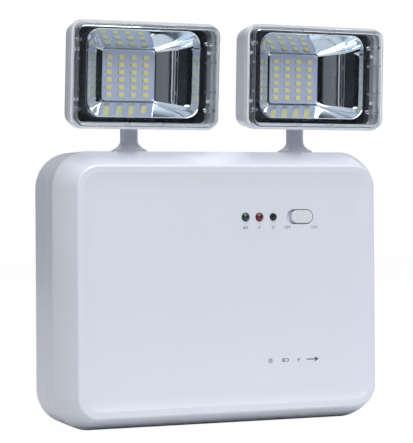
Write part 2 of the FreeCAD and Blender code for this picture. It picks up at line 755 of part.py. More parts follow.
def battery_strap():
    """A bent metal band round the battery's front, with a foot on each post."""
    inner = BATTERY_LENGTH / 2 + STRAP_GAP
    outer = inner + STRAP_THICKNESS
    front = BATTERY_FRONT_DEPTH + STRAP_GAP
    foot_end = STRAP_POST_X + STRAP_FOOT / 2
    seat = STRAP_POST_DEPTH
    right_half = [
        (inner, front),
        (inner, seat),
        (foot_end, seat),
        (foot_end, seat + STRAP_THICKNESS),
        (outer, seat + STRAP_THICKNESS),
        (outer, front + STRAP_THICKNESS),
    ]
    left_half = [(-x, depth) for x, depth in reversed(right_half)]
    low = BATTERY_MIDDLE_Z - STRAP_WIDTH / 2
    outline = [at_depth(x, depth, low) for x, depth in right_half + left_half]
    band = polygon_prism(outline, Vector(0, 0, STRAP_WIDTH))
    bends = []
    for edge in band.Edges:
        middle = edge.CenterOfMass
        upright = abs(edge.tangentAt(edge.FirstParameter).z) > 0.9
        if upright and abs(middle.x) < foot_end - STRAP_THICKNESS:
            is_outer = abs(abs(middle.x) - outer) < 1e-3
            bends.append((edge, is_outer))
    for radius, wanted in ((STRAP_THICKNESS * 2, True), (STRAP_THICKNESS, False)):
        chosen = [edge for edge, is_outer in bends if is_outer == wanted and edge.CenterOfMass.y < 0]
        for edge in chosen:
            match = [e for e in band.Edges if (e.CenterOfMass - edge.CenterOfMass).Length < 1e-3]
            band = band.makeFillet(radius, match)
    holes = []
    for sign in (-1, 1):
        start = at_depth(sign * STRAP_POST_X, seat - 1, BATTERY_MIDDLE_Z)
        end = at_depth(sign * STRAP_POST_X, seat + STRAP_THICKNESS + 1, BATTERY_MIDDLE_Z)
        holes.append(rod(SCREW_RADIUS + SCREW_HOLE_CLEARANCE, start, end))
    return band.cut(holes)


def strap_screws():
    """Two screws through the strap's feet."""
    screws = []
    for sign in (-1, 1):
        x = sign * STRAP_POST_X
        seat = at_depth(x, STRAP_POST_DEPTH + STRAP_THICKNESS, BATTERY_MIDDLE_Z)
        tip = at_depth(x, STRAP_POST_DEPTH - STRAP_SCREW_LENGTH + SCREW_RADIUS / 2, BATTERY_MIDDLE_Z)
        screws.append(screw(seat, tip))
    return screws


# ---- circuit board and what is on it -------------------------------------------------------------------
def main_board():
    """The circuit board, with holes for its screws and for the indicators' legs."""
    board = block(
        at_depth(BOARD_LOW_X, BOARD_BACK_DEPTH, BOARD_LOW_Z),
        at_depth(BOARD_HIGH_X, BOARD_FRONT_DEPTH, BOARD_HIGH_Z),
    )
    holes = []
    for x, z in board_screw_places():
        start = at_depth(x, BOARD_BACK_DEPTH - 1, z)
        end = at_depth(x, BOARD_FRONT_DEPTH + 1, z)
        holes.append(rod(SCREW_RADIUS + SCREW_HOLE_CLEARANCE, start, end))
    return board.cut(holes)


def main_board_screws():
    """Four screws that hold the board to the front cover's bosses."""
    screws = []
    for x, z in board_screw_places():
        tip = BOARD_BACK_DEPTH + BOARD_SCREW_LENGTH - SCREW_RADIUS
        screws.append(screw(at_depth(x, BOARD_BACK_DEPTH, z), at_depth(x, tip, z)))
    return screws


def indicator(x):
    """A domed indicator lamp with a flange and two legs that reach the board."""
    tip = PANEL_DEPTH + INDICATOR_STAND
    base = tip - INDICATOR_LENGTH
    dome_centre = tip - INDICATOR_RADIUS
    body = rod(INDICATOR_RADIUS, at_depth(x, base, CONTROL_Z), at_depth(x, dome_centre, CONTROL_Z))
    dome = Part.makeSphere(INDICATOR_RADIUS, at_depth(x, dome_centre, CONTROL_Z))
    flange_end = base + INDICATOR_FLANGE
    flange = rod(
        INDICATOR_FLANGE_RADIUS,
        at_depth(x, base, CONTROL_Z),
        at_depth(x, flange_end, CONTROL_Z),
    )
    legs = []
    for sign in (-1, 1):
        leg_x = x + sign * LEG_SPACING / 2
        foot = at_depth(leg_x, BOARD_FRONT_DEPTH, CONTROL_Z)
        legs.append(rod(LEG_RADIUS, foot, at_depth(leg_x, base + INDICATOR_FLANGE / 2, CONTROL_Z)))
    return fuse([body, dome, flange] + legs)


def test_switch():
    """The body of the momentary switch under the test button."""
    half = TACT_SIZE / 2
    top = BOARD_FRONT_DEPTH + TACT_HEIGHT
    body = block(
        at_depth(BUTTON_X - half, BOARD_FRONT_DEPTH, CONTROL_Z - half),
        at_depth(BUTTON_X + half, top, CONTROL_Z + half),
    )
    guide = rod(
        BUTTON_RADIUS + BUTTON_GUIDE_CLEARANCE,
        at_depth(BUTTON_X, top - 2 * BUTTON_TRAVEL - 1, CONTROL_Z),
        at_depth(BUTTON_X, top + 1, CONTROL_Z),
    )
    return body.cut(guide)


def test_button():
    """The round plunger, with a shallow dish in its face."""
    top = PANEL_DEPTH + BUTTON_STAND
    foot = BOARD_FRONT_DEPTH + TACT_HEIGHT - 1
    plunger = rod(BUTTON_RADIUS, at_depth(BUTTON_X, foot, CONTROL_Z), at_depth(BUTTON_X, top, CONTROL_Z))
    dish_rise = BUTTON_DIMPLE_RADIUS - BUTTON_DIMPLE_DEPTH
    dish = Part.makeSphere(BUTTON_DIMPLE_RADIUS, at_depth(BUTTON_X, top + dish_rise, CONTROL_Z))
    return plunger.cut(dish)


def slide_switch():
    """The body of the slide switch, with a slot for the knob's post."""
    top = BOARD_FRONT_DEPTH + SLIDER_DEPTH
    body = block(
        at_depth(SWITCH_X - SLIDER_LENGTH / 2, BOARD_FRONT_DEPTH, CONTROL_Z - SLIDER_HEIGHT / 2),
        at_depth(SWITCH_X + SLIDER_LENGTH / 2, top, CONTROL_Z + SLIDER_HEIGHT / 2),
    )
    half_height = SLIDER_POST / 2 + SLIDER_SLOT_CLEARANCE
    slot_high = KNOB_REST_X + SLIDER_POST / 2 + SLIDER_SLOT_CLEARANCE
    slot_low = KNOB_REST_X - KNOB_TRAVEL - SLIDER_POST / 2 - SLIDER_SLOT_CLEARANCE
    slot = block(
        at_depth(slot_low, top - SLIDER_SLOT_DEPTH, CONTROL_Z - half_height),
        at_depth(slot_high, top + 1, CONTROL_Z + half_height),
    )
    return body.cut(slot)


def switch_knob():
    """The oblong knob: a pad in the panel's opening, a plate behind it and a post to the switch."""
    face = PANEL_DEPTH + KNOB_STAND
    plate_front = PANEL_INNER_DEPTH - KNOB_GAP
    plate_back = plate_front - KNOB_PLATE
    pad = oblong(KNOB_LENGTH, KNOB_HEIGHT, face, plate_back, KNOB_REST_X)
    rim = [edge for edge in pad.Edges if abs(edge.CenterOfMass.y - (BACK_Y - face)) < 1e-3]
    pad = pad.makeFillet(SWITCH_OPENING_FILLET, rim)
    plate = oblong(
        SWITCH_OPENING_LENGTH + 2 * KNOB_PLATE_OVERLAP,
        SWITCH_OPENING_HEIGHT + 2 * KNOB_PLATE_OVERLAP,
        plate_front,
        plate_back,
        KNOB_REST_X,
    )
    half = SLIDER_POST / 2
    post_end = BOARD_FRONT_DEPTH + SLIDER_DEPTH - SLIDER_SLOT_DEPTH + KNOB_GAP
    post = block(
        at_depth(KNOB_REST_X - half, post_end, CONTROL_Z - half),
        at_depth(KNOB_REST_X + half, plate_front, CONTROL_Z + half),
    )
    return fuse([pad, plate, post])


def transformer():
    """A small switching transformer: a square core with a round winding between its halves."""
    half = TRANSFORMER_SIZE / 2
    end = BOARD_BACK_DEPTH - TRANSFORMER_HEIGHT
    cheek = TRANSFORMER_HEIGHT / 4
    low = block(
        at_depth(TRANSFORMER_X - half, BOARD_BACK_DEPTH, TRANSFORMER_Z - half),
        at_depth(TRANSFORMER_X + half, BOARD_BACK_DEPTH - cheek, TRANSFORMER_Z + half),
    )
    high = block(
        at_depth(TRANSFORMER_X - half, end + cheek, TRANSFORMER_Z - half),
        at_depth(TRANSFORMER_X + half, end, TRANSFORMER_Z + half),
    )
    winding = rod(
        WINDING_RADIUS,
        at_depth(TRANSFORMER_X, BOARD_BACK_DEPTH - cheek / 2, TRANSFORMER_Z),
        at_depth(TRANSFORMER_X, end + cheek / 2, TRANSFORMER_Z),
    )
    return fuse([low, high, winding])


def capacitors():
    """Two upright can capacitors with a rolled groove near the board."""
    cans = []
    groove = CAPACITOR_RADIUS / 10
    for x in CAPACITOR_X:
        base = BOARD_BACK_DEPTH
        profile = [
            (0, 0),
            (CAPACITOR_RADIUS, 0),
            (CAPACITOR_RADIUS, 2 * groove),
            (CAPACITOR_RADIUS - groove, 3 * groove),
            (CAPACITOR_RADIUS, 4 * groove),
            (CAPACITOR_RADIUS, CAPACITOR_HEIGHT - groove),
            (CAPACITOR_RADIUS - groove, CAPACITOR_HEIGHT),
            (0, CAPACITOR_HEIGHT),
        ]
        points = [at_depth(x + radius, base - rise, CAPACITOR_Z) for radius, rise in profile]
        face = Part.Face(Part.makePolygon(points + [points[0]]))
        cans.append(face.revolve(at_depth(x, 0, CAPACITOR_Z), Y_AXIS, 360))
    return cans


def mains_block():
    """The terminal block that a mains cable would be screwed into."""
    half = MAINS_BLOCK_LENGTH / 2
    end = BOARD_BACK_DEPTH - MAINS_BLOCK_HEIGHT
    body = block(
        at_depth(MAINS_BLOCK_X - half, BOARD_BACK_DEPTH, MAINS_BLOCK_Z - MAINS_BLOCK_WIDTH / 2),
        at_depth(MAINS_BLOCK_X + half, end, MAINS_BLOCK_Z + MAINS_BLOCK_WIDTH / 2),
    )
    pitch = MAINS_BLOCK_LENGTH / MAINS_WAYS
    holes = []
    for way in range(MAINS_WAYS):
        x = MAINS_BLOCK_X - half + pitch * (way + 0.5)
        screw_mouth = at_depth(x, end - 1, MAINS_BLOCK_Z)
        holes.append(rod(pitch / 3, screw_mouth, at_depth(x, end + 2, MAINS_BLOCK_Z)))
        wire_z = MAINS_BLOCK_Z - MAINS_BLOCK_WIDTH / 2
        wire_depth = BOARD_BACK_DEPTH - MAINS_BLOCK_HEIGHT / 3
        holes.append(rod(pitch / 4, at_depth(x, wire_depth, wire_z - 1), at_depth(x, wire_depth, wire_z + 3)))
    return body.cut(holes)


def battery_plug():
    """The two-way plug of the battery leads, on the board's rear face."""
    half = PLUG_LENGTH / 2
    return block(
        at_depth(PLUG_X - half, BOARD_BACK_DEPTH, PLUG_Z - PLUG_WIDTH / 2),
        at_depth(PLUG_X + half, BOARD_BACK_DEPTH - PLUG_HEIGHT, PLUG_Z + PLUG_WIDTH / 2),
    )


def lead(points, radius):
    """A wire: straight rods between the points, joined by arcs as wide as the shorter run allows."""
    pieces = []
    here = points[0]
    for before, corner, after in zip(points, points[1:], points[2:]):
        incoming = (corner - before).normalize()
        outgoing = (after - corner).normalize()
        turn = incoming.getAngle(outgoing)
        setback = LEAD_BEND_SHARE * min((corner - before).Length, (after - corner).Length)
        arc_start = corner - incoming * setback
        hinge_axis = incoming.cross(outgoing).normalize()
        centre = arc_start + hinge_axis.cross(incoming) * (setback / math.tan(turn / 2))
        section = Part.Face(Part.Wire(Part.makeCircle(radius, arc_start, incoming)))
        pieces.append(rod(radius, here, arc_start))
        pieces.append(section.revolve(centre, hinge_axis, math.degrees(turn)))
        print("bend radius", round((arc_start - centre).Length, 1))
        here = corner + outgoing * setback
    pieces.append(rod(radius, here, points[-1]))
    return fuse(pieces)


def battery_lead(way):
    """One battery lead, from its terminal tab to the plug; way 0 is the upper tab, 1 the lower."""
    tab = terminal_middles()[way] + Vector(TERMINAL_LENGTH, 0, 0)
    rise_x = LEAD_RISE_X[way]
    plug_x = PLUG_X + (way - 0.5) * LEAD_SPACING
    plug_y = BACK_Y - (BOARD_BACK_DEPTH - PLUG_HEIGHT / 2)
    plug_z = PLUG_Z - PLUG_WIDTH / 2
    route = [
        tab,
        Vector(rise_x, tab.y, tab.z),
        Vector(rise_x, tab.y, plug_z - 2 * LEAD_DROP),
        Vector(plug_x, plug_y, plug_z - LEAD_DROP),
        Vector(plug_x, plug_y, plug_z),
    ]
    return lead(route, LEAD_RADIUS)


# ---- stems ---------------------------------------------------------------------------------------------
def stem():
    """The hollow stem, on its own axis with z = 0 at the body's top: knuckle, neck, cone, flange, thread."""
    thread_end = -(BODY_WALL + STEM_WASHER + STEM_NUT + STEM_END)
    cone_sag = (NECK_RADIUS * 2 + CONE_RADIUS) / 3
    sag_height = (CONE_START + CONE_END) / 2
    outline = [
        Vector(0, 0, thread_end),
        Vector(JOURNAL_RADIUS - 0.5, 0, thread_end),
        Vector(JOURNAL_RADIUS, 0, thread_end + 0.5),
        Vector(JOURNAL_RADIUS, 0, 0),
        Vector(FLANGE_RADIUS, 0, 0),
        Vector(FLANGE_RADIUS, 0, FLANGE_EDGE),
        Vector(CONE_RADIUS, 0, CONE_START),
    ]
    edges = [Part.LineSegment(a, b).toShape() for a, b in zip(outline, outline[1:])]
    cone_top = Vector(NECK_RADIUS, 0, CONE_END)
    neck_top = Vector(NECK_RADIUS, 0, PIVOT_HEIGHT)
    axis_top = Vector(0, 0, PIVOT_HEIGHT)
    edges.append(Part.Arc(outline[-1], Vector(cone_sag, 0, sag_height), cone_top).toShape())
    edges.append(Part.LineSegment(cone_top, neck_top).toShape())
    edges.append(Part.LineSegment(neck_top, axis_top).toShape())
    edges.append(Part.LineSegment(axis_top, outline[0]).toShape())
    turned = Part.Face(Part.Wire(edges)).revolve(Vector(), Z_AXIS, 360)
    half_knuckle = Vector(KNUCKLE_WIDTH / 2, 0, 0)
    pivot = Vector(0, 0, PIVOT_HEIGHT)
    rounded_top = rod(KNUCKLE_RADIUS, pivot - half_knuckle, pivot + half_knuckle)
    wire_bore = rod(WIRE_BORE_RADIUS, Vector(0, 0, thread_end - 1), Vector(0, 0, PIVOT_HEIGHT + BIG))
    cross_hole = rod(SCREW_RADIUS + PIVOT_CLEARANCE, pivot - 2 * half_knuckle, pivot + 2 * half_knuckle)
    above = block(
        Vector(-BIG, -BIG, PIVOT_HEIGHT),
        Vector(BIG, BIG, BIG),
    )
    below_pivot = turned.cut(above)
    return cut(fuse([below_pivot, rounded_top]), [wire_bore, cross_hole])


def stem_washer():
    """The washer under the body's top wall."""
    top = Vector(0, 0, -BODY_WALL)
    bottom = top - Vector(0, 0, STEM_WASHER)
    bore = rod(JOURNAL_RADIUS + JOURNAL_CLEARANCE, bottom - Z_AXIS, top + Z_AXIS)
    return rod(STEM_WASHER_RADIUS, bottom, top).cut(bore)


def stem_nut():
    """The hexagon nut that clamps the stem."""
    top = Vector(0, 0, -BODY_WALL - STEM_WASHER)
    bottom = top - Vector(0, 0, STEM_NUT)
    bore = rod(JOURNAL_RADIUS + SCREW_FIT, bottom - Z_AXIS, top + Z_AXIS)
    return hexagon_prism(STEM_NUT_FLATS, bottom, Vector(0, 0, STEM_NUT)).cut(bore)


# ---- lamp head, in its own frame: origin on the tilt pivot, -Y forward ------------------------------------
def head_section(ahead, width, height, radius):
    """A rounded rectangle across the head, at a distance ahead of the pivot."""
    return rounded_rectangle(width, height, radius, -ahead, HEAD_CENTRE_UP)


def head_plate(ahead_front, ahead_back, width, height, radius):
    """A flat plate across the head between two distances ahead of the pivot."""
    return rounded_plate(width, height, radius, -ahead_front, -ahead_back, HEAD_CENTRE_UP)


def shell_profile(thickness):
    """Sections of the head shell from the rim to the back, all set in by one thickness."""
    taper = math.radians(SHELL_TAPER)
    taper_tall = math.radians(SHELL_TAPER_TALL)
    run = SHELL_BAND_END - SHELL_TAPER_END
    mid_half_w = SHELL_WIDTH / 2 - run * math.tan(taper)
    mid_half_h = SHELL_HEIGHT / 2 - run * math.tan(taper_tall)
    radius_tall = SHELL_BACK_RADIUS * (1 - math.sin(taper)) / (1 - math.sin(taper_tall))
    front = []
    for ahead, half_w, half_h, corner in (
        (SHELL_FRONT, SHELL_WIDTH / 2, SHELL_HEIGHT / 2, SHELL_BAND_CORNER),
        (SHELL_BAND_END, SHELL_WIDTH / 2, SHELL_HEIGHT / 2, SHELL_BAND_CORNER),
        (SHELL_TAPER_END, mid_half_w, mid_half_h, SHELL_TAPER_CORNER),
    ):
        front.append((ahead, 2 * (half_w - thickness), 2 * (half_h - thickness), corner - thickness * 0.6))
    back = [front[-1]]
    steps = 5
    for step in range(1, steps + 1):
        angle = taper + (math.pi / 2 - taper) * step / steps
        sunk = SHELL_BACK_RADIUS * (math.sin(angle) - math.sin(taper))
        tall_sine = min(1.0, math.sin(taper_tall) + sunk / radius_tall)
        tall_angle = math.asin(tall_sine)
        half_w = mid_half_w - SHELL_BACK_RADIUS * (math.cos(taper) - math.cos(angle))
        half_h = mid_half_h - radius_tall * (math.cos(taper_tall) - math.cos(tall_angle))
        half_w -= thickness * math.cos(angle)
        half_h -= thickness * math.cos(tall_angle)
        ahead = SHELL_TAPER_END - sunk + thickness * math.sin(angle)
        blend = step / steps
        corner = SHELL_TAPER_CORNER + (SHELL_BACK_CORNER - SHELL_TAPER_CORNER) * blend
        back.append((ahead, 2 * half_w, 2 * half_h, corner - thickness * 0.6))
    return front, back


def shell_form(thickness):
    """The head shell's outer form, or its cavity when a wall's thickness is given."""
    front, back = shell_profile(thickness)
    pieces = [
        Part.makeLoft([head_section(*front[0]), head_section(*front[1])], True, True),
        Part.makeLoft([head_section(*front[1]), head_section(*front[2])], True, True),
        Part.makeLoft([head_section(*section) for section in back], True, False),
    ]
    return pieces


def tilt_slot():
    """The slot in the shell's underside that the neck swings through."""
    drop = HEAD_CENTRE_UP - SHELL_HEIGHT / 2
    under = -drop
    up = math.radians(TILT_UP_LIMIT)
    down = math.radians(TILT_DOWN_LIMIT)
    reach_back = under * math.tan(up) + NECK_RADIUS / math.cos(up) + SLOT_CLEARANCE
    reach_front = under * math.tan(down) + NECK_RADIUS / math.cos(down) + SLOT_CLEARANCE
    half = KNUCKLE_WIDTH / 2 + CHEEK_GAP + SLOT_CLEARANCE / 2
    return block(Vector(-half, -reach_front, -under - BIG), Vector(half, reach_back, 0))


def cheek(sign):
    """One of the two lugs inside the shell that hold the pivot screw."""
    near = sign * (KNUCKLE_WIDTH / 2 + CHEEK_GAP)
    far = near + sign * CHEEK_THICKNESS
    lug = rod(CHEEK_RADIUS, Vector(near, 0, 0), Vector(far, 0, 0))
    foot = block(Vector(near, -CHEEK_RADIUS, -2 * CHEEK_RADIUS), Vector(far, CHEEK_RADIUS, 0))
    return fuse([lug, foot])


def reflector_rests():
    """Ribs inside the shell that the reflector's flange stands on."""
    ribs = []
    seat = REFLECTOR_FLANGE_AHEAD - REFLECTOR_FLANGE
    half_t = RIB_THICKNESS / 2
    reach_z = REFLECTOR_FLANGE_HEIGHT / 2 - REST_UNDERLAP
    wall_z = SHELL_HEIGHT / 2 - SHELL_WALL
    for u in (-REST_U, REST_U):
        for sign in (-1, 1):
            low = Vector(u - half_t, -seat, HEAD_CENTRE_UP + sign * reach_z)
            high = Vector(u + half_t, REST_DEPTH_LONG - seat, HEAD_CENTRE_UP + sign * wall_z)
            ribs.append(block(low, high))
    reach_u = REFLECTOR_FLANGE_WIDTH / 2 - REST_UNDERLAP
    wall_u = SHELL_WIDTH / 2 - SHELL_WALL
    for z in (-REST_Z, REST_Z):
        for sign in (-1, 1):
            low = Vector(sign * reach_u, -seat, HEAD_CENTRE_UP + z - half_t)
            high = Vector(sign * wall_u, REST_DEPTH_ENDS - seat, HEAD_CENTRE_UP + z + half_t)
            ribs.append(block(low, high))
    return ribs


def led_posts():
    """Posts inside the shell's back that the LED board is screwed to, and their pilot holes."""
    board_back = LED_PLANE - LED_BOARD_THICKNESS
    back_inner = SHELL_TAPER_END - SHELL_BACK_RADIUS * (1 - math.sin(math.radians(SHELL_TAPER)))
    posts = []
    pilots = []
    for sign in (-1, 1):
        foot = Vector(sign * LED_SCREW_U, -back_inner - SHELL_WALL / 2, HEAD_CENTRE_UP)
        top = Vector(sign * LED_SCREW_U, -board_back, HEAD_CENTRE_UP)
        posts.append(rod(LED_POST_RADIUS, foot, top))
        pilot_end = top + Vector(0, LED_SCREW_LENGTH, 0)
        pilots.append(rod(SCREW_RADIUS + SCREW_FIT, pilot_end, top + FORWARD))
    return posts, pilots


def head_shell():
    """The moulded rear half of a lamp head."""
    outer = fuse(shell_form(0.0))
    cavity = fuse(shell_form(SHELL_WALL))
    ledge_cut = head_plate(
        SHELL_FRONT + 1,
        SHELL_LEDGE,
        COVER_WIDTH + 2 * COVER_FIT,
        COVER_HEIGHT + 2 * COVER_FIT,
        COVER_RADIUS + COVER_FIT,
    )
    ledge_frame = head_plate(SHELL_LEDGE, SHELL_BAND_END, SHELL_WIDTH, SHELL_HEIGHT, SHELL_BAND_CORNER)
    ledge_hole = head_plate(
        SHELL_LEDGE + 1,
        SHELL_BAND_END - 1,
        SHELL_WIDTH - 2 * SHELL_LEDGE_WIDTH,
        SHELL_HEIGHT - 2 * SHELL_LEDGE_WIDTH,
        SHELL_BAND_CORNER - SHELL_LEDGE_WIDTH,
    )
    posts, pilots = led_posts()
    hollow = outer.cut([cavity, ledge_cut])
    ledge = ledge_frame.cut(ledge_hole)
    mid_wall = fuse(shell_form(SHELL_WALL / 2))
    inner = [piece.common(mid_wall) for piece in [cheek(-1), cheek(1)] + posts + reflector_rests()]
    pivot_hole = rod(SCREW_RADIUS + SCREW_FIT, Vector(-BIG, 0, 0), Vector(BIG, 0, 0))
    reach = KNUCKLE_WIDTH
    pivot_hole = pivot_hole.common(block(Vector(-reach, -reach, -reach), Vector(reach, reach, reach)))
    return cut(fuse([hollow, ledge] + inner), [tilt_slot(), pivot_hole] + pilots)


def cover_section():
    """Wall section of the clear cover, with a rounded front edge."""
    front = BACK_Y + COVER_FRONT
    edge = COVER_EDGE_ROUND
    round_centre = (edge, front - edge)
    return section_face(
        [
            (0.0, BACK_Y + SHELL_LEDGE),
            (0.0, front - edge),
            arc_step(round_centre, edge, (0.0, front - edge), (edge, front)),
            (COVER_RADIUS, front),
            (COVER_RADIUS, front - COVER_PANE),
            (COVER_WALL, front - COVER_PANE),
            (COVER_WALL, BACK_Y + SHELL_LEDGE),
        ]
    )


def lens_cover():
    """The clear cover: a shallow tray with pegs near its corners and small ribs on its walls."""
    base_z = HEAD_CENTRE_UP - COVER_HEIGHT / 2
    pieces = carried_section(cover_section(), COVER_WIDTH, COVER_HEIGHT, COVER_RADIUS, base_z)
    half_u = COVER_WIDTH / 2 - COVER_RADIUS
    half_z = COVER_HEIGHT / 2 - COVER_RADIUS
    inner_face = COVER_FRONT - COVER_PANE
    pieces.append(
        block(
            Vector(-half_u, -COVER_FRONT, HEAD_CENTRE_UP - half_z),
            Vector(half_u, -inner_face, HEAD_CENTRE_UP + half_z),
        )
    )
    wall_u = COVER_WIDTH / 2 - COVER_WALL
    wall_z = COVER_HEIGHT / 2 - COVER_WALL
    peg_end = SHELL_LEDGE + COVER_PEG_RADIUS
    tick_start = REFLECTOR_FLANGE_AHEAD + REFLECTOR_FLANGE / 2
    half_tick = COVER_TICK / 2
    sunk_end = -inner_face - COVER_PANE / 3
    for side in (-1, 1):
        for level in (-1, 1):
            u = side * (wall_u - COVER_PEG_INSET)
            z = HEAD_CENTRE_UP + level * COVER_PEG_Z
            pieces.append(rod(COVER_PEG_RADIUS, Vector(u, -peg_end, z), Vector(u, sunk_end, z)))
            tick_z = HEAD_CENTRE_UP + level * COVER_TICK_Z
            pieces.append(
                block(
                    Vector(side * (wall_u - COVER_TICK), -peg_end, tick_z - half_tick),
                    Vector(side * (wall_u + half_tick), sunk_end, tick_z + half_tick),
                )
            )
            edge_z = HEAD_CENTRE_UP + level * wall_z
            tick_u = side * COVER_TICK_U
            pieces.append(
                block(
                    Vector(tick_u - half_tick, -tick_start, edge_z - level * half_tick),
                    Vector(tick_u + half_tick, sunk_end, edge_z + level * half_tick),
                )
            )
    return fuse(pieces)


def bowl_sections(wall):
    """Sections across the reflector's bowl, from the window to the mouth, grown by a wall's thickness.

    At a share t of the bowl's depth a wall has spread by t + flare * (t - t * t) of its whole spread.
    """
    bottom_of_bowl = LED_PLANE + WINDOW_LIP
    sections = []
    for step in range(BOWL_STEPS + 1):
        share = step / BOWL_STEPS
        curl = share - share**2
        side = WINDOW_WIDTH / 2 + (share + FLARE_SIDES * curl) * (MOUTH_WIDTH - WINDOW_WIDTH) / 2
        top = WINDOW_HEIGHT / 2 + (share + FLARE_TOP * curl) * (MOUTH_HEIGHT - WINDOW_HEIGHT) / 2
        bottom = WINDOW_HEIGHT / 2 + (share + FLARE_BOTTOM * curl) * (MOUTH_HEIGHT - WINDOW_HEIGHT) / 2
        radius = WINDOW_RADIUS + share * (MOUTH_RADIUS - WINDOW_RADIUS)
        ahead = bottom_of_bowl + share * (REFLECTOR_FLANGE_AHEAD - bottom_of_bowl)
        middle = HEAD_CENTRE_UP + (top - bottom) / 2
        width = 2 * (side + wall)
        height = top + bottom + 2 * wall
        sections.append(rounded_rectangle(width, height, radius + wall, -ahead, middle))
    return sections


def reflector():
    """The plated reflector: a flange with a curling rectangular bowl down to the LED window."""
    seat = REFLECTOR_FLANGE_AHEAD - REFLECTOR_FLANGE
    flange = head_plate(
        REFLECTOR_FLANGE_AHEAD,
        seat,
        REFLECTOR_FLANGE_WIDTH,
        REFLECTOR_FLANGE_HEIGHT,
        REFLECTOR_FLANGE_RADIUS,
    )
    lip_front = LED_PLANE + WINDOW_LIP
    lip_size = (WINDOW_WIDTH, WINDOW_HEIGHT, WINDOW_RADIUS)
    grown_lip_size = [size + 2 * REFLECTOR_WALL for size in lip_size[:2]]
    lip = head_plate(lip_front, LED_PLANE, *grown_lip_size, WINDOW_RADIUS + REFLECTOR_WALL)
    bowl = Part.makeLoft(bowl_sections(REFLECTOR_WALL), True, False)
    window = head_plate(lip_front, LED_PLANE - 1, *lip_size)
    space = Part.makeLoft(bowl_sections(0.0), True, False)
    return cut(fuse([flange, lip, bowl]), [fuse([window, space])])


def led_board():
    """The aluminium-backed board behind the reflector's window."""
    back = LED_PLANE - LED_BOARD_THICKNESS
    board = head_plate(LED_PLANE, back, LED_BOARD_WIDTH, LED_BOARD_HEIGHT, 2.0)
    holes = []
    for sign in (-1, 1):
        start = Vector(sign * LED_SCREW_U, -LED_PLANE - 1, HEAD_CENTRE_UP)
        end = Vector(sign * LED_SCREW_U, -back + 1, HEAD_CENTRE_UP)
        holes.append(rod(SCREW_RADIUS + SCREW_HOLE_CLEARANCE, start, end))
    return board.cut(holes)


def led_board_screws():
    """Two screws that hold the LED board to the shell's posts."""
    screws = []
    for sign in (-1, 1):
        seat = Vector(sign * LED_SCREW_U, -LED_PLANE, HEAD_CENTRE_UP)
        tip = seat + Vector(0, LED_BOARD_THICKNESS + LED_SCREW_LENGTH - SCREW_RADIUS, 0)
        screws.append(screw(seat, tip))
    return screws


def led_chips():
    """The grid of surface-mounted LED chips."""
    chips = []
    for column in range(CHIP_COLUMNS):
        for row in range(CHIP_ROWS):
            u = (column - (CHIP_COLUMNS - 1) / 2) * CHIP_PITCH_U
            z = HEAD_CENTRE_UP + (row - (CHIP_ROWS - 1) / 2) * CHIP_PITCH_Z
            low = Vector(u - CHIP_WIDTH / 2, -LED_PLANE - CHIP_THICKNESS, z - CHIP_HEIGHT / 2)
            high = Vector(u + CHIP_WIDTH / 2, -LED_PLANE, z + CHIP_HEIGHT / 2)
            chips.append(block(low, high))
    return chips


def pivot_screw():
    """The screw that the head tilts on."""
    outer = KNUCKLE_WIDTH / 2 + CHEEK_GAP + CHEEK_THICKNESS
    return screw(Vector(-outer, 0, 0), Vector(outer + NUT_HEIGHT + PIVOT_SCREW_TIP, 0, 0))


def pivot_nut():
    """The nut at the far end of the pivot screw."""
    outer = KNUCKLE_WIDTH / 2 + CHEEK_GAP + CHEEK_THICKNESS
    seat = Vector(outer, 0, 0)
    nut = hexagon_prism(NUT_FLATS, seat, Vector(NUT_HEIGHT, 0, 0), 30)
    return nut.cut(rod(SCREW_RADIUS + SCREW_FIT, seat - X_AXIS, seat + X_AXIS * (NUT_HEIGHT + 1)))


# ---- assembly ----------------------------------------------------------------------------------------------
def stem_placement(side):
    """Where a stem stands: on the seam of the body's top, turned by the head's resting pan."""
    return Placement(at_depth(PAN_AXIS_X[side], PARTING_DEPTH, BODY_HEIGHT), Rotation(Z_AXIS, REST_PAN[side]))


def head_placement(side):
    """Where a lamp head sits: on its pivot, turned by its resting pan and tilt."""
    pan = Rotation(Z_AXIS, REST_PAN[side])
    tilt = Rotation(X_AXIS, REST_TILT[side])
    return Placement(at_depth(PAN_AXIS_X[side], PARTING_DEPTH, PIVOT_Z), pan.multiply(tilt))


def placed(made, placement):
    """A shape, or a group of shapes, moved to its place in the body's frame."""
    group = made if isinstance(made, list) else [made]
    moved = []
    for shape in group:
        copy = shape.copy()
        copy.Placement = placement.multiply(copy.Placement)
        moved.append(copy)
    return moved if isinstance(made, list) else moved[0]


def write(name, made):
    """Write one node; a list of shapes becomes one group of separate solids."""
    shape = Part.makeCompound(made) if isinstance(made, list) else made
    if len(shape.Solids) == 1:
        shape = shape.Solids[0]
    shape.exportStep(os.path.join("parts", name + ".step"))
    box = shape.BoundBox
    size = " x ".join(str(round(extent, 1)) for extent in (box.XLength, box.YLength, box.ZLength))
    print(f"{name:24s} {len(shape.Solids):3d} solid(s)  {size} mm  {shape.Volume / 1000:8.2f} cm3")


def body_nodes():
    """Everything in and on the body that doesn't move with a lamp head."""
    return {
        "rear_housing": rear_housing(),
        "front_cover": front_cover(),
        "case_screws": case_screws(),
        "cable_grommet": cable_grommet(),
        "battery": battery(),
        "battery_terminals": battery_terminals(),
        "battery_strap": battery_strap(),
        "strap_screws": strap_screws(),
        "main_board": main_board(),
        "main_board_screws": main_board_screws(),
        "transformer": transformer(),
        "capacitors": capacitors(),
        "mains_block": mains_block(),
        "battery_plug": battery_plug(),
        "battery_lead_positive": battery_lead(0),
        "battery_lead_negative": battery_lead(1),
        "green_indicator": indicator(GREEN_X),
        "red_indicator": indicator(RED_X),
        "test_switch": test_switch(),
        "test_button": test_button(),
        "slide_switch": slide_switch(),
        "switch_knob": switch_knob(),
    }


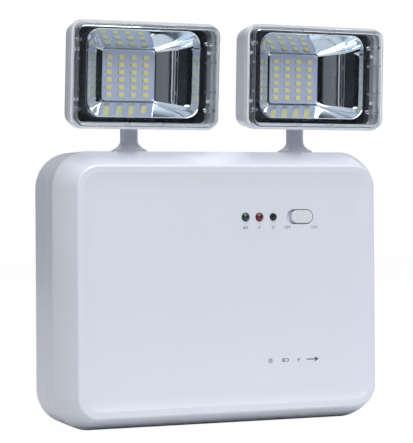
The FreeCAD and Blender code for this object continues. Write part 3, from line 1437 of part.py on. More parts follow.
def head_nodes():
    """The pieces of one lamp head, in the head's own frame."""
    return {
        "head_shell": head_shell(),
        "lens_cover": lens_cover(),
        "reflector": reflector(),
        "led_board": led_board(),
        "led_board_screws": led_board_screws(),
        "led_chips": led_chips(),
        "pivot_screw": pivot_screw(),
        "pivot_nut": pivot_nut(),
    }


def stem_nodes():
    """The pieces that turn under one lamp head, on the stem's own axis."""
    return {"stem": stem(), "stem_washer": stem_washer(), "stem_nut": stem_nut()}


def main():
    """Build every piece and write it to parts/."""
    os.makedirs("parts", exist_ok=True)
    for name, made in body_nodes().items():
        write(name, made)
    heads = head_nodes()
    stems = stem_nodes()
    for side in SIDES:
        for name, made in heads.items():
            write(f"{side}_{name}", placed(made, head_placement(side)))
        for name, made in stems.items():
            write(f"{side}_{name}", placed(made, stem_placement(side)))


main()
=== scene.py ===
# %% [markdown]
# # A twin-head emergency light
#
# This lesson dresses a small emergency lighting block: a glossy white case with a battery inside, and
# two lamp heads that pan and tilt on short stems. The solid model arrives first as a fixed frame, one
# object for each real piece, and every step after that either gives a piece its finish or replaces it
# with a finer surface. All sizes are metres, +Z is up and the front looks towards -Y.

import json
import math

import bmesh
import bpy
import numpy as np
from mathutils import Matrix, Vector


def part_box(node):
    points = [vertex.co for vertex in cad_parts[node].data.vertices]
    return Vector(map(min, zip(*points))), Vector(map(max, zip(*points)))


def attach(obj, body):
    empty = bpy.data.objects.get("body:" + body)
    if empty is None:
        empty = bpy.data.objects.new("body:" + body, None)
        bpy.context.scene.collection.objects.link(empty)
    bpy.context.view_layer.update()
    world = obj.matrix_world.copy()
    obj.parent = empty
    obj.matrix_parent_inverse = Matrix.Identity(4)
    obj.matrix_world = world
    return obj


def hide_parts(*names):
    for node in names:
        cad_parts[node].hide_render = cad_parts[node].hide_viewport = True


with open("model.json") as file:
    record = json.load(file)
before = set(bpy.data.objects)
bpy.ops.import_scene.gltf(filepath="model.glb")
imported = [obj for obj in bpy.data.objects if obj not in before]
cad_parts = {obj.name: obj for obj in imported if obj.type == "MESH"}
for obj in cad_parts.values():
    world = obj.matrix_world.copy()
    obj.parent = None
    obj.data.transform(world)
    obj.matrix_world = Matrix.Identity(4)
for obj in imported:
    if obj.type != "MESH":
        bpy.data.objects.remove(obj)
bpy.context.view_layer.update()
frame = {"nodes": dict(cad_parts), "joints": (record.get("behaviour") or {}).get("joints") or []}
NODES = frame["nodes"]
MM = 0.001
SIDES = ("left", "right")

print("pieces loaded:", len(NODES))

# %% [markdown]
# ## Where the measurements come from
#
# The frame already holds every size that matters, so nothing here is measured twice. A node's box gives
# its corners, and a lamp head's joints give the two turns that stand between the head's own square
# axes and the axes of the whole object: a pan about the upright stem, and a tilt about the pivot screw.

# %% Places read from the frame
JOINTS = {joint["name"]: joint for joint in frame["joints"]}
LEVEL_TILT_UP_LIMIT = 35.0  # degrees above level that every head can reach


def head_matrix(side):
    """The lamp head's own axes at rest: origin on the tilt pivot, X to its right, -Y along its beam."""
    tilt = JOINTS[side + "_head_tilt"]
    pan_angle = math.atan2(-tilt["axis"][1], -tilt["axis"][0])
    nose_down = math.radians(tilt["range_deg"][1] - LEVEL_TILT_UP_LIMIT)
    turned = Matrix.Rotation(pan_angle, 4, "Z") @ Matrix.Rotation(nose_down, 4, "X")
    return Matrix.Translation(Vector(tilt["pos_m"])) @ turned


def box_middle(node):
    """The middle of a node's box."""
    low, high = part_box(node)
    return (Vector(low) + Vector(high)) / 2


PANEL_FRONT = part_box("front_cover")[0][1]
print("front rim at y =", round(PANEL_FRONT, 4))

# %% [markdown]
# ## The camera
#
# The camera stands a metre away, left of the middle and level with the lamp heads, as for a catalogue
# view: far enough off that the case's edges stay nearly parallel. A long lens with a small shift keeps
# the object in the frame without tilting the view.

# %% Camera
CAMERA_PLACE = Vector((-0.3789, -0.9684, 0.1287))
CAMERA_AIM = Vector((-0.00205, -0.0117, 0.1319))
CAMERA_ROLL = math.radians(-0.37)


def look_rotation(place, aim, roll):
    """A camera's rotation: -Z runs from place to aim, and the picture leans by roll about that line."""
    forward = (aim - place).normalized()
    right = forward.cross(Vector((0, 0, 1))).normalized()
    up = right.cross(forward)
    lean_right = math.cos(roll) * right + math.sin(roll) * up
    lean_up = math.cos(roll) * up - math.sin(roll) * right
    return Matrix((lean_right, lean_up, -forward)).transposed()


camera_data = bpy.data.cameras.new("catalogue_camera")
camera_data.sensor_width = 36.0
camera_data.lens = 142.13
camera_data.shift_x = -0.0065
camera_data.shift_y = -0.0544
camera_data.clip_start = 0.05
camera_data.clip_end = 20.0
camera = bpy.data.objects.new("catalogue_camera", camera_data)
camera.matrix_world = Matrix.Translation(CAMERA_PLACE) @ look_rotation(
    CAMERA_PLACE, CAMERA_AIM, CAMERA_ROLL
).to_4x4()
bpy.context.scene.collection.objects.link(camera)
bpy.context.scene.camera = camera
print("camera", round((CAMERA_PLACE - CAMERA_AIM).length, 3), "m from its aim")

# %% [markdown]
# ## Writing shaders as sums
#
# A procedural finish is a small calculation at every point of a surface. Wiring that by hand hides the
# formula, so `Signal` wraps one socket and lets ordinary operators add the Math nodes, and `Finish`
# holds one material with a single way to add any other node.


# %% Shader expressions
class Signal:
    """A number that varies over a surface. Operators on it add Math nodes to its material."""

    def __init__(self, finish, socket):
        self.finish = finish
        self.socket = socket

    def maths(self, operation, other):
        return self.finish.node("ShaderNodeMath", {"operation": operation}, {0: self, 1: other})

    def __add__(self, other):
        return self.maths("ADD", other)

    __radd__ = __add__

    def __mul__(self, other):
        return self.maths("MULTIPLY", other)

    __rmul__ = __mul__

    def __rsub__(self, other):
        return (self * -1.0) + other

    def ramp(self, low, high):
        """0 at low, 1 at high, straight between them and flat outside."""
        return self.finish.node(
            "ShaderNodeMapRange",
            {"clamp": True},
            {"Value": self, "From Min": low, "From Max": high, "To Min": 0.0, "To Max": 1.0},
        )


class Finish:
    """One material, built by expressions and ended by a Principled shader."""

    def __init__(self, name):
        self.material = bpy.data.materials.new(name)
        self.material.use_nodes = True
        self.tree = self.material.node_tree
        self.shader = self.tree.nodes["Principled BSDF"]
        self.place = self.node("ShaderNodeTexCoord", {}, {}, output="Object")

    def node(self, kind, settings, inputs, output=0):
        """Adds a node: settings first, then its inputs, each a value or a Signal."""
        made = self.tree.nodes.new(kind)
        for setting, value in settings.items():
            setattr(made, setting, value)
        for key, value in inputs.items():
            self.feed(made.inputs[key], value)
        return Signal(self, made.outputs[output])

    def feed(self, socket, value):
        if isinstance(value, Signal):
            self.tree.links.new(value.socket, socket)
        else:
            socket.default_value = value

    def set(self, **values):
        """Sets the Principled shader's sockets; Base_Color stands for "Base Color"."""
        for key, value in values.items():
            self.feed(self.shader.inputs[key.replace("_", " ")], value)
        return self

    def noise(self, per_metre, detail=2.0, roughness=0.5, stretch=(1, 1, 1)):
        """Soft random values around 0.5, with so many lumps to the metre."""
        scaled = self.node(
            "ShaderNodeMapping", {}, {"Vector": self.place, "Scale": tuple(per_metre * s for s in stretch)}
        )
        return self.node(
            "ShaderNodeTexNoise",
            {},
            {"Vector": scaled, "Scale": 1.0, "Detail": detail, "Roughness": roughness},
        )

    def mix(self, factor, low, high):
        """A colour from low to high as factor goes from 0 to 1."""
        made = self.tree.nodes.new("ShaderNodeMix")
        made.data_type = "RGBA"
        self.feed(made.inputs["Factor"], factor)
        for socket, value in ((made.inputs[6], low), (made.inputs[7], high)):
            self.feed(socket, value if isinstance(value, Signal) else (*value[:3], 1.0))
        return Signal(self, made.outputs[2])

    def bump(self, height, strength, distance):
        """A surface normal from a height signal; distance is the relief's depth in metres."""
        return self.node(
            "ShaderNodeBump", {}, {"Height": height, "Strength": strength, "Distance": distance}
        )


print("shader expressions ready")


# %% [markdown]
# ## Moulded white plastic
#
# The case, heads and stems are one family of glossy white ABS. Under studio light it reads as a cool
# white. The stems' copy of it is darker, which is painted shade for the shadow under the heads. Real
# mouldings are never perfectly even: the gloss is broken by a faint orange-peel from the tool, there is a
# slow drift in tone, and handling leaves areas that are a touch duller.


# %% White plastics
def moulded_white(name, colour, roughness, peel):
    """Glossy plastic: a slow tone drift, patchy gloss and a fine orange-peel relief."""
    finish = Finish(name)
    drift = finish.noise(9.0, detail=2.0)
    handling = finish.noise(28.0, detail=1.0)
    shade = tuple(channel * 0.975 for channel in colour)
    grain = finish.noise(700.0, detail=1.0)
    finish.set(
        Base_Color=finish.mix(drift.ramp(0.15, 0.85), shade, colour),
        Roughness=roughness + (handling.ramp(0.1, 0.9) * 0.06),
        Normal=finish.bump(grain, peel, 0.00004),
        Specular_IOR_Level=0.5,
        Coat_Weight=0.25,
        Coat_Roughness=0.08,
    )
    return finish.material


CASE_WHITE = moulded_white("case_white_gloss", (0.70, 0.725, 0.81), 0.28, 0.10)
HEAD_WHITE = moulded_white("head_white_gloss", (0.72, 0.745, 0.80), 0.26, 0.10)
# The stems' white is darker than the heads': painted shade for the shadow under the heads.
STEM_WHITE_PAINTED_SHADE = moulded_white("stem_white_painted_shade", (0.62, 0.63, 0.70), 0.32, 0.10)
KNOB_WHITE = moulded_white("knob_white_satin", (0.66, 0.685, 0.76), 0.38, 0.15)
INK_GREY = moulded_white("printed_ink_grey", (0.09, 0.095, 0.115), 0.45, 0.05)
print("white plastics made")

# %% [markdown]
# ## The other plain finishes
#
# Everything else inside or behind the case is a plain engineering finish: zinc-plated steel with fine
# rolling marks, soft black rubber, dark moulded plastics and a green circuit board. Each gets the one
# or two kinds of variation that the real material shows.


# %% Metals, rubber and dark plastics
def plated_steel(name, colour, roughness):
    """Zinc-plated steel: bright metal with streaks along one direction and slightly dull patches."""
    finish = Finish(name)
    streaks = finish.noise(900.0, detail=2.0, stretch=(1, 0.15, 0.15))
    patches = finish.noise(220.0, detail=3.0)
    dull = tuple(channel * 0.8 for channel in colour)
    finish.set(
        Base_Color=finish.mix(patches.ramp(0.4, 0.7), dull, colour),
        Metallic=1.0,
        Roughness=roughness + (streaks.ramp(0.3, 0.7) * 0.15),
        Normal=finish.bump(streaks, 0.15, 0.00002),
    )
    return finish.material


def dark_plastic(name, colour, roughness, dust_level=0.02):
    """A moulded or soft dark surface with fine grain and faint dust."""
    finish = Finish(name)
    grain = finish.noise(1500.0, detail=2.0)
    dust = finish.noise(120.0, detail=5.0)
    dusty = tuple(channel * 0.85 + dust_level for channel in colour)
    finish.set(
        Base_Color=finish.mix(dust.ramp(0.5, 0.8), colour, dusty),
        Roughness=roughness + (dust.ramp(0.4, 0.8) * 0.12),
        Normal=finish.bump(grain, 0.3, 0.00003),
    )
    return finish.material


STEEL = plated_steel("zinc_plated_steel", (0.66, 0.66, 0.65), 0.28)
STRAP_STEEL = plated_steel("zinc_plated_sheet", (0.60, 0.61, 0.62), 0.34)
TIN = plated_steel("tinned_tab", (0.74, 0.68, 0.50), 0.30)
RUBBER = dark_plastic("grommet_rubber", (0.035, 0.035, 0.037), 0.72)
BATTERY_BLACK = dark_plastic("battery_case_grey", (0.05, 0.053, 0.06), 0.5)
SWITCH_BLACK = dark_plastic("switch_body_black", (0.02, 0.02, 0.022), 0.5)
BUTTON_BLACK = dark_plastic("test_button_black", (0.003, 0.003, 0.006), 0.4, dust_level=0.003)
FERRITE = dark_plastic("transformer_core", (0.045, 0.045, 0.05), 0.6)
CAN_SLEEVE = dark_plastic("capacitor_sleeve", (0.02, 0.03, 0.07), 0.3)
BLOCK_GREEN = dark_plastic("terminal_block_green", (0.02, 0.16, 0.07), 0.45)
PLUG_NATURAL = dark_plastic("plug_natural", (0.62, 0.60, 0.52), 0.5)
LEAD_RED = dark_plastic("lead_red", (0.42, 0.012, 0.012), 0.45)
LEAD_BLACK = dark_plastic("lead_black", (0.015, 0.015, 0.016), 0.45)
BOARD_GREEN = dark_plastic("circuit_board_green", (0.015, 0.10, 0.035), 0.35)
print("engineering finishes made")

# %% [markdown]
# ## Optical finishes
#
# The lamp heads live on three optical surfaces. The cover is clear acrylic, so light bends at its rounded
# edges and ribs. The reflector is plastic with a vacuum-plated mirror skin, which shows a faint waviness
# and specks of dust. The LED board is a pale solder mask that the mirror repeats on all four walls.


# %% Clear, mirrored and lit surfaces
def clear_acrylic(name):
    """Clear plastic where it is moulded round: it bends light, and its edge glows a little."""
    finish = Finish(name)
    finish.set(
        Base_Color=(0.965, 0.98, 0.985, 1.0),
        Transmission_Weight=0.95,
        Roughness=0.015,
        IOR=1.49,
    )
    return finish.material


def clear_sheet(name):
    """A flat clear wall: it lets light straight through and mirrors more at a glancing angle."""
    finish = Finish(name)
    through = finish.tree.nodes.new("ShaderNodeBsdfTransparent")
    through.inputs["Color"].default_value = (0.97, 0.98, 0.985, 1.0)
    gloss = finish.tree.nodes.new("ShaderNodeBsdfGlossy")
    gloss.inputs["Roughness"].default_value = 0.03
    facing = finish.node("ShaderNodeLayerWeight", {}, {"Blend": 0.5}, output="Facing")
    mirrored = 0.04 + (facing.maths("POWER", 5.0) * 0.9)
    blend = finish.tree.nodes.new("ShaderNodeMixShader")
    finish.tree.links.new(mirrored.socket, blend.inputs["Fac"])
    finish.tree.links.new(through.outputs[0], blend.inputs[1])
    finish.tree.links.new(gloss.outputs[0], blend.inputs[2])
    finish.tree.links.new(blend.outputs[0], finish.tree.nodes["Material Output"].inputs["Surface"])
    return finish.material


def vacuum_plating(name):
    """A mirror skin on moulded plastic, a little wavy, with sparse dust specks that scatter light."""
    finish = Finish(name)
    waves = finish.noise(60.0, detail=2.0)
    specks = finish.noise(2600.0, detail=1.0).ramp(0.72, 0.76)
    finish.set(
        Base_Color=finish.mix(specks, (0.84, 0.89, 0.95), (0.8, 0.8, 0.8)),
        Metallic=1.0 - (specks * 0.5),
        Roughness=0.035 + (specks * 0.4),
        Normal=finish.bump(waves, 0.25, 0.00025),
    )
    return finish.material


def solder_mask(name, colour):
    """The smooth lacquer of a circuit board, with a very slight unevenness."""
    finish = Finish(name)
    mottle = finish.noise(400.0, detail=3.0)
    finish.set(
        Base_Color=finish.mix(mottle, tuple(channel * 0.94 for channel in colour), colour),
        Roughness=0.32,
        Normal=finish.bump(mottle, 0.1, 0.00003),
    )
    return finish.material


CLEAR = clear_acrylic("clear_acrylic_edge")
CLEAR_SHEET = clear_sheet("clear_acrylic_sheet")
MIRROR = vacuum_plating("vacuum_plated_mirror")
LED_MASK = solder_mask("pale_solder_mask", (0.60, 0.66, 0.84))
PHOSPHOR = solder_mask("led_phosphor", (0.95, 0.88, 0.42))
PACKAGE = solder_mask("led_package_white", (0.80, 0.80, 0.74))
print("optical finishes made")


# %% [markdown]
# ## Tinted resin
#
# The two indicator lamps are off, so their resin looks almost black with a little colour, and a sharp
# highlight sits on each dome. A dark base colour, a polished surface and a thin coat give that.

# %% Indicator lamps
def tinted_resin(name, colour):
    """Tinted clear resin of an indicator lamp: glossy, with light bleeding through it."""
    finish = Finish(name)
    finish.set(
        Base_Color=(*colour, 1.0),
        Roughness=0.04,
        Transmission_Weight=0.1,
        IOR=1.5,
        Coat_Weight=0.3,
        Coat_Roughness=0.02,
    )
    return finish.material


GREEN_RESIN = tinted_resin("green_resin", (0.003, 0.030, 0.029))
RED_RESIN = tinted_resin("red_resin", (0.115, 0.003, 0.012))
print("indicator resins made")

# %% [markdown]
# ## Giving each piece its finish
#
# A frame piece whose shape is right keeps its mesh and only changes its material, by assigning to the
# slots that the mesh already has.

# %% Assign the finishes
PLAIN_FINISHES = {
    "rear_housing": CASE_WHITE,
    "front_cover": CASE_WHITE,
    "case_screws": STEEL,
    "cable_grommet": RUBBER,
    "battery": BATTERY_BLACK,
    "battery_terminals": TIN,
    "battery_strap": STRAP_STEEL,
    "strap_screws": STEEL,
    "main_board": BOARD_GREEN,
    "main_board_screws": STEEL,
    "transformer": FERRITE,
    "capacitors": CAN_SLEEVE,
    "mains_block": BLOCK_GREEN,
    "battery_plug": PLUG_NATURAL,
    "battery_lead_positive": LEAD_RED,
    "battery_lead_negative": LEAD_BLACK,
    "green_indicator": GREEN_RESIN,
    "red_indicator": RED_RESIN,
    "test_switch": SWITCH_BLACK,
    "slide_switch": SWITCH_BLACK,
    "test_button": BUTTON_BLACK,
    "switch_knob": KNOB_WHITE,
}
HEAD_FINISHES = {
    "head_shell": HEAD_WHITE,
    "lens_cover": CLEAR_SHEET,
    "reflector": MIRROR,
    "led_board": LED_MASK,
    "led_board_screws": STEEL,
    "led_chips": PHOSPHOR,
    "pivot_screw": STEEL,
    "pivot_nut": STEEL,
    "stem": STEM_WHITE_PAINTED_SHADE,
    "stem_washer": STEEL,
    "stem_nut": STEEL,
}


def give_finish(obj, material):
    """Puts one material in every slot of an object."""
    for slot in obj.material_slots:
        slot.material = material


for node, material in PLAIN_FINISHES.items():
    give_finish(NODES[node], material)
for side in SIDES:
    for node, material in HEAD_FINISHES.items():
        give_finish(NODES[f"{side}_{node}"], material)
print("finishes given to", len(PLAIN_FINISHES) + 2 * len(HEAD_FINISHES), "pieces")

# %% [markdown]
# ## Surfaces from rings
#
# A reflector bowl, a chip package or a bead is a stack of closed outlines. `ring` writes one outline, a
# rounded rectangle whose four corners are quarter circles. A stack of rings with the same number of
# points is a grid, so its faces come from index arithmetic alone, with no loop over the points.


# %% Rings and skins
CORNER_POINTS = 13


def ring(half_width, top, bottom, radius, ahead, points=CORNER_POINTS):
    """A rounded rectangle across the beam, as points (u, -ahead, z).

    u = su (half_width - r) + r cos(a) and z = sz (half_height - r) + r sin(a), where su and sz are the
    corner's signs and a runs through a quarter turn in each corner.
    """
    turn = np.linspace(0.0, math.pi / 2, points)
    angle = (turn[None, :] + np.arange(4)[:, None] * math.pi / 2).ravel()
    sign_u = np.repeat([1.0, -1.0, -1.0, 1.0], points)
    sign_z = np.repeat([1.0, 1.0, -1.0, -1.0], points)
    reach_z = np.where(sign_z > 0, top, bottom)
    u = sign_u * (half_width - radius) + radius * np.cos(angle)
    z = sign_z * (reach_z - radius) + radius * np.sin(angle)
    return np.stack([u, np.full_like(u, -ahead), z], axis=1)


def grid_faces(rows, columns, closed_rows):
    """Corner indices of the quads between neighbouring rings; closed_rows joins the last to the first."""
    count = rows if closed_rows else rows - 1
    row, column = np.meshgrid(np.arange(count), np.arange(columns), indexing="ij")
    next_row = (row + 1) % rows
    next_column = (column + 1) % columns
    corners = [
        row * columns + column,
        row * columns + next_column,
        next_row * columns + next_column,
        next_row * columns + column,
    ]
    return np.stack(corners, axis=-1).reshape(-1, 4)


def end_cap(start, columns):
    """Quads across one convex ring: points k and k + 1 with their partners on the other side."""
    k = np.arange(columns // 2 - 1)
    return start + np.stack([k, k + 1, columns - 2 - k, columns - 1 - k], axis=-1)


def stack_faces(rows, columns):
    """The walls of a stack of rings, with its first ring closed towards the back and its last ahead."""
    back = end_cap(0, columns)[:, ::-1]
    front = end_cap((rows - 1) * columns, columns)
    return np.concatenate([grid_faces(rows, columns, closed_rows=False), back, front])


def mesh_piece(name, points, faces, materials, material_index=None, sharp_deg=None):
    """A new object at the origin from arrays of points (metres) and quads."""
    mesh = bpy.data.meshes.new(name)
    mesh.vertices.add(len(points))
    mesh.vertices.foreach_set("co", np.asarray(points, dtype=np.float32).ravel())
    mesh.loops.add(faces.size)
    mesh.loops.foreach_set("vertex_index", faces.astype(np.int32).ravel())
    mesh.polygons.add(len(faces))
    mesh.polygons.foreach_set("loop_start", np.arange(0, faces.size, 4, dtype=np.int32))
    for material in materials:
        mesh.materials.append(material)
    mesh.update(calc_edges=True)
    if material_index is not None:
        mesh.polygons.foreach_set("material_index", material_index.astype(np.int32))
    mesh.shade_smooth()
    if sharp_deg is not None:
        mesh.set_sharp_from_angle(angle=math.radians(sharp_deg))
    obj = bpy.data.objects.new(name, mesh)
    bpy.context.scene.collection.objects.link(obj)
    return obj


def placed(matrix, points):
    """Points carried by a 4 x 4 matrix."""
    grid = np.asarray(matrix)
    return points @ grid[:3, :3].T + grid[:3, 3]


print("a ring has", 4 * CORNER_POINTS, "points")

# %% [markdown]
# ## The reflector's curve
#
# What a lamp bowl shows is set by the slope of its walls. Near the LED window the side walls lie almost
# flat, so they mirror the dark room; towards the mouth they steepen, and mirror the chips. The wall's
# line is a cubic Bezier curve from the window to the mouth, given by its slope at both ends. The top
# wall is nearly straight and repeats three rows of chips, and the bottom wall focuses on one row.


# %% Reflector surface
HEAD_CENTRE_UP = 23.0 * MM
WINDOW_HALF_WIDTH = 16.3 * MM
WINDOW_HALF_HEIGHT = 14.4 * MM
BOARD_AHEAD = -2.9 * MM
BOWL_START = -2.1 * MM
FLANGE_AHEAD = 21.4 * MM
FLANGE_BACK = 20.2 * MM
BEAD = 0.45 * MM  # radius of the rounded frame round the window
RIM_ROUND = 0.8 * MM  # rounding between the bowl and the flange
RIM_RISE = 0.75 * RIM_ROUND
SKIN = 1.2 * MM
WINDOW_CORNER, CORNER_GROWTH = 2.0 * MM, 6.5 * MM
FLANGE_HALF = (39.45 * MM, 26.85 * MM, 26.85 * MM)  # sideways, up and down
FLANGE_CORNER, FLANGE_EDGE = 2.6 * MM, 0.2 * MM
SIDE_WALL = {"spread": 19.2 * MM, "slopes": (59.0, 14.0), "pulls": (0.20, 0.48)}
TOP_WALL = {"spread": 11.9 * MM, "slopes": (33.0, 24.0), "pulls": (0.14, 0.45)}
BOTTOM_WALL = {"spread": 9.7 * MM, "slopes": (35.0, 15.0), "pulls": (0.15, 0.45)}


def wall_line(wall, ahead):
    """How far a wall has spread at each place ahead of the window's bead.

    A cubic Bezier curve B(t) = sum of binomial(3, k) (1 - t)^(3 - k) t^k P_k, whose end slopes are
    angles from the beam's direction, read off at the asked places.
    """
    start = np.array([2 * BEAD, 0.0])
    end = np.array([wall["spread"] - RIM_ROUND, FLANGE_AHEAD - BOWL_START - RIM_RISE])
    length = np.linalg.norm(end - start)
    first, last = (math.radians(slope) for slope in wall["slopes"])
    near = start + wall["pulls"][0] * length * np.array([math.sin(first), math.cos(first)])
    far = end - wall["pulls"][1] * length * np.array([math.sin(last), math.cos(last)])
    t = np.linspace(0.0, 1.0, 400)[:, None]
    curve = (1 - t) ** 3 * start + 3 * (1 - t) ** 2 * t * near + 3 * (1 - t) * t**2 * far + t**3 * end
    return np.interp(ahead, curve[:, 1], curve[:, 0])


def bowl_profile(steps=56):
    """Rows of (ahead, spread at the sides, at the top, at the bottom) from the board to the flange."""
    rows = [(BOARD_AHEAD, 0.0, 0.0, 0.0)]
    for angle in np.linspace(0.0, math.pi, 13):
        out = BEAD * (1 - math.cos(angle))
        rows.append((BOWL_START + BEAD * math.sin(angle), out, out, out))
    depth = FLANGE_AHEAD - BOWL_START - RIM_RISE
    share = np.linspace(0.0, 1.0, steps) ** 1.4
    for place in share[1:] * depth:
        spreads = [float(wall_line(wall, place)) for wall in (SIDE_WALL, TOP_WALL, BOTTOM_WALL)]
        rows.append((BOWL_START + place, *spreads))
    last = rows[-1]
    for angle in np.linspace(0.0, math.pi / 2, 9)[1:]:
        out = RIM_ROUND * (1 - math.cos(angle))
        up = RIM_RISE * math.sin(angle)
        rows.append((last[0] + up, last[1] + out, last[2] + out, last[3] + out))
    return np.array(rows)


def corner_size(ahead):
    """The bowl's corner radius grows from the window to the mouth."""
    share = np.clip((ahead - BOWL_START) / (FLANGE_AHEAD - BOWL_START), 0.0, 1.0)
    return WINDOW_CORNER + CORNER_GROWTH * share


WINDOW_HALF = (WINDOW_HALF_WIDTH, WINDOW_HALF_HEIGHT, WINDOW_HALF_HEIGHT)  # sideways, up and down


def grown(half, amounts):
    """Half sizes with an amount added to each."""
    return [size + amount for size, amount in zip(half, amounts)]


def reflector_rings():
    """All rings of the closed skin: bowl, flange, flange edge and the skin's back."""
    profile = bowl_profile()
    rings = [ring(*grown(WINDOW_HALF, row[1:]), corner_size(row[0]), row[0]) for row in profile]
    inner_edge = grown(FLANGE_HALF, [-FLANGE_EDGE] * 3)
    rings.append(ring(*inner_edge, FLANGE_CORNER - FLANGE_EDGE, FLANGE_AHEAD))
    rings.append(ring(*FLANGE_HALF, FLANGE_CORNER, FLANGE_AHEAD - FLANGE_EDGE))
    rings.append(ring(*FLANGE_HALF, FLANGE_CORNER, FLANGE_BACK))
    for row in profile[::-6]:
        ahead = row[0]
        if BOWL_START + 2 * BEAD <= ahead <= FLANGE_BACK:
            outside = grown(WINDOW_HALF, row[1:] + SKIN)
            rings.append(ring(*outside, corner_size(ahead) + SKIN, ahead - 0.3 * SKIN))
    foot = grown(WINDOW_HALF, [1.6 * SKIN] * 3)
    rings.append(ring(*foot, WINDOW_CORNER + SKIN, BOARD_AHEAD))
    return np.array(rings)


for side in SIDES:
    rings = reflector_rings()
    rings[:, :, 2] += HEAD_CENTRE_UP
    points = placed(head_matrix(side), rings.reshape(-1, 3))
    faces = grid_faces(len(rings), rings.shape[1], closed_rows=True)[:, ::-1]  # the inside comes first
    bowl = mesh_piece(side + "_reflector_skin", points, faces, [MIRROR], sharp_deg=40)
    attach(bowl, side + "_head")
    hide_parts(side + "_reflector")
print("reflector faces", len(faces))

# %% [markdown]
# ## LED packages
#
# Each chip is a white package with a shallow cup of yellow phosphor and a soldered metal end on each
# side. One package is built as three short stacks of rings, and numpy places it at every crossing of the
# grid, so a head's chips are one mesh.


# %% Chips
CHIP_COLUMNS, CHIP_ROWS = 4, 6
CHIP_PITCH = (7.64 * MM, 4.33 * MM)
CHIP_SHIFT = (-0.35 * MM, -0.4 * MM)
CHIP_HEIGHT = 0.8 * MM
CHIP_END_ACROSS = 1.85 * MM  # from the chip's middle to the middle of a soldered end
POLE = 0.02  # share of its last ring's size at which a stack is closed


def stack(outlines, points=4):
    """Rings (half width, half height, radius, ahead) closed by a last ring that shrinks to the middle."""
    rings = [ring(w, h, h, r, a, points) for w, h, r, a in outlines]
    w, h, r, a = outlines[-1]
    rings.append(ring(w * POLE, h * POLE, h * POLE, min(w, h) * POLE / 2, a, points))
    return np.array(rings)


def chip_parts():
    """The package, its phosphor cup and its two soldered ends, round one origin on the board."""
    top = CHIP_HEIGHT
    package = stack(
        [
            (1.78 * MM, 1.42 * MM, 0.25 * MM, 0.0),
            (1.76 * MM, 1.40 * MM, 0.25 * MM, top - 0.1 * MM),
            (1.72 * MM, 1.36 * MM, 0.22 * MM, top),
            (1.58 * MM, 1.25 * MM, 0.30 * MM, top),
            (1.55 * MM, 1.22 * MM, 0.30 * MM, top - 0.12 * MM),
        ]
    )
    phosphor = stack(
        [
            (1.56 * MM, 1.23 * MM, 0.30 * MM, top - 0.10 * MM),
            (1.32 * MM, 1.02 * MM, 0.30 * MM, top - 0.04 * MM),
            (0.60 * MM, 0.50 * MM, 0.20 * MM, top - 0.01 * MM),
        ]
    )
    end = stack(
        [
            (0.20 * MM, 0.95 * MM, 0.08 * MM, 0.0),
            (0.20 * MM, 0.95 * MM, 0.08 * MM, 0.22 * MM),
            (0.12 * MM, 0.88 * MM, 0.08 * MM, 0.30 * MM),
        ]
    )
    ends = [end + np.array([sign * CHIP_END_ACROSS, 0.0, 0.0]) for sign in (-1, 1)]
    return [(package, 0), (phosphor, 1), (ends[0], 2), (ends[1], 2)]


def evenly(count, pitch, shift):
    """Places at an even pitch about a shifted middle."""
    return (np.arange(count) - (count - 1) / 2) * pitch + shift


def chip_grid():
    """The chips' middles across the board, from the head's middle."""
    column = evenly(CHIP_COLUMNS, CHIP_PITCH[0], CHIP_SHIFT[0])
    row = evenly(CHIP_ROWS, CHIP_PITCH[1], CHIP_SHIFT[1])
    u, z = np.meshgrid(column, row)
    return np.stack([u.ravel(), np.full(u.size, -BOARD_AHEAD), z.ravel() + HEAD_CENTRE_UP], axis=1)


for side in SIDES:
    all_points, all_faces, all_kinds, start = [], [], [], 0
    middles = chip_grid()
    for part, kind in chip_parts():
        flat = part.reshape(-1, 3)
        faces = stack_faces(len(part), part.shape[1])
        copies = (flat[None, :, :] + middles[:, None, :]).reshape(-1, 3)
        shifts = start + np.arange(len(middles)) * len(flat)
        copied = (faces[None, :, :] + shifts[:, None, None]).reshape(-1, 4)
        all_points.append(copies)
        all_faces.append(copied)
        all_kinds.append(np.full(len(copied), kind))
        start += len(copies)
    chips = mesh_piece(
        side + "_led_packages",
        placed(head_matrix(side), np.concatenate(all_points)),
        np.concatenate(all_faces),
        [PACKAGE, PHOSPHOR, STEEL],
        np.concatenate(all_kinds),
        sharp_deg=35,
    )
    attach(chips, side + "_head")
    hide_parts(side + "_led_chips")
print("chips in a head:", len(middles))

# %% [markdown]
# ## The clear cover
#
# The cover is a shallow tray: a pane with a rounded edge and four walls that stand inside the shell's
# rim. Its flat walls let light straight through. Its rounded edge, the pegs in its corners and the small
# ribs on its walls bend light, and they draw the fine bright and dark lines round the lamp.

# %% Cover, pegs and ribs
COVER_HALF = (43.75 * MM, 29.05 * MM)
COVER_FOOT, COVER_FRONT = 21.2 * MM, 29.9 * MM
COVER_WALL, COVER_CORNER, COVER_EDGE = 1.8 * MM, 5.6 * MM, 1.1 * MM
INNER_FILLET = 0.3 * MM  # between the pane's back and the walls
PANE_CENTRE = 0.001  # a ring this small closes the pane's middle
PEG_RADIUS, PEG_UP, PEG_INSET = 1.1 * MM, 19.2 * MM, 0.85 * MM
END_RIB, END_RIB_UP, END_RIB_INSET = (0.65 * MM, 0.45 * MM), 8.4 * MM, 0.2 * MM
LONG_RIB, LONG_RIB_ACROSS, LONG_RIB_INSET = (0.45 * MM, 0.55 * MM), 10.6 * MM, 0.1 * MM
FITTING_FOOT, LONG_RIB_FOOT, FITTING_GAP = 22.4 * MM, 22.2 * MM, 0.05 * MM
RIB_ROUND = 0.2 * MM


def cover_outline(inset, ahead, shrink=1.0):
    """One ring of the cover, inwards from its outside and shrunk towards the middle."""
    half = ((COVER_HALF[0] - inset) * shrink, (COVER_HALF[1] - inset) * shrink)
    return ring(half[0], half[1], half[1], max(COVER_CORNER - inset, 1.0 * MM) * shrink, ahead)


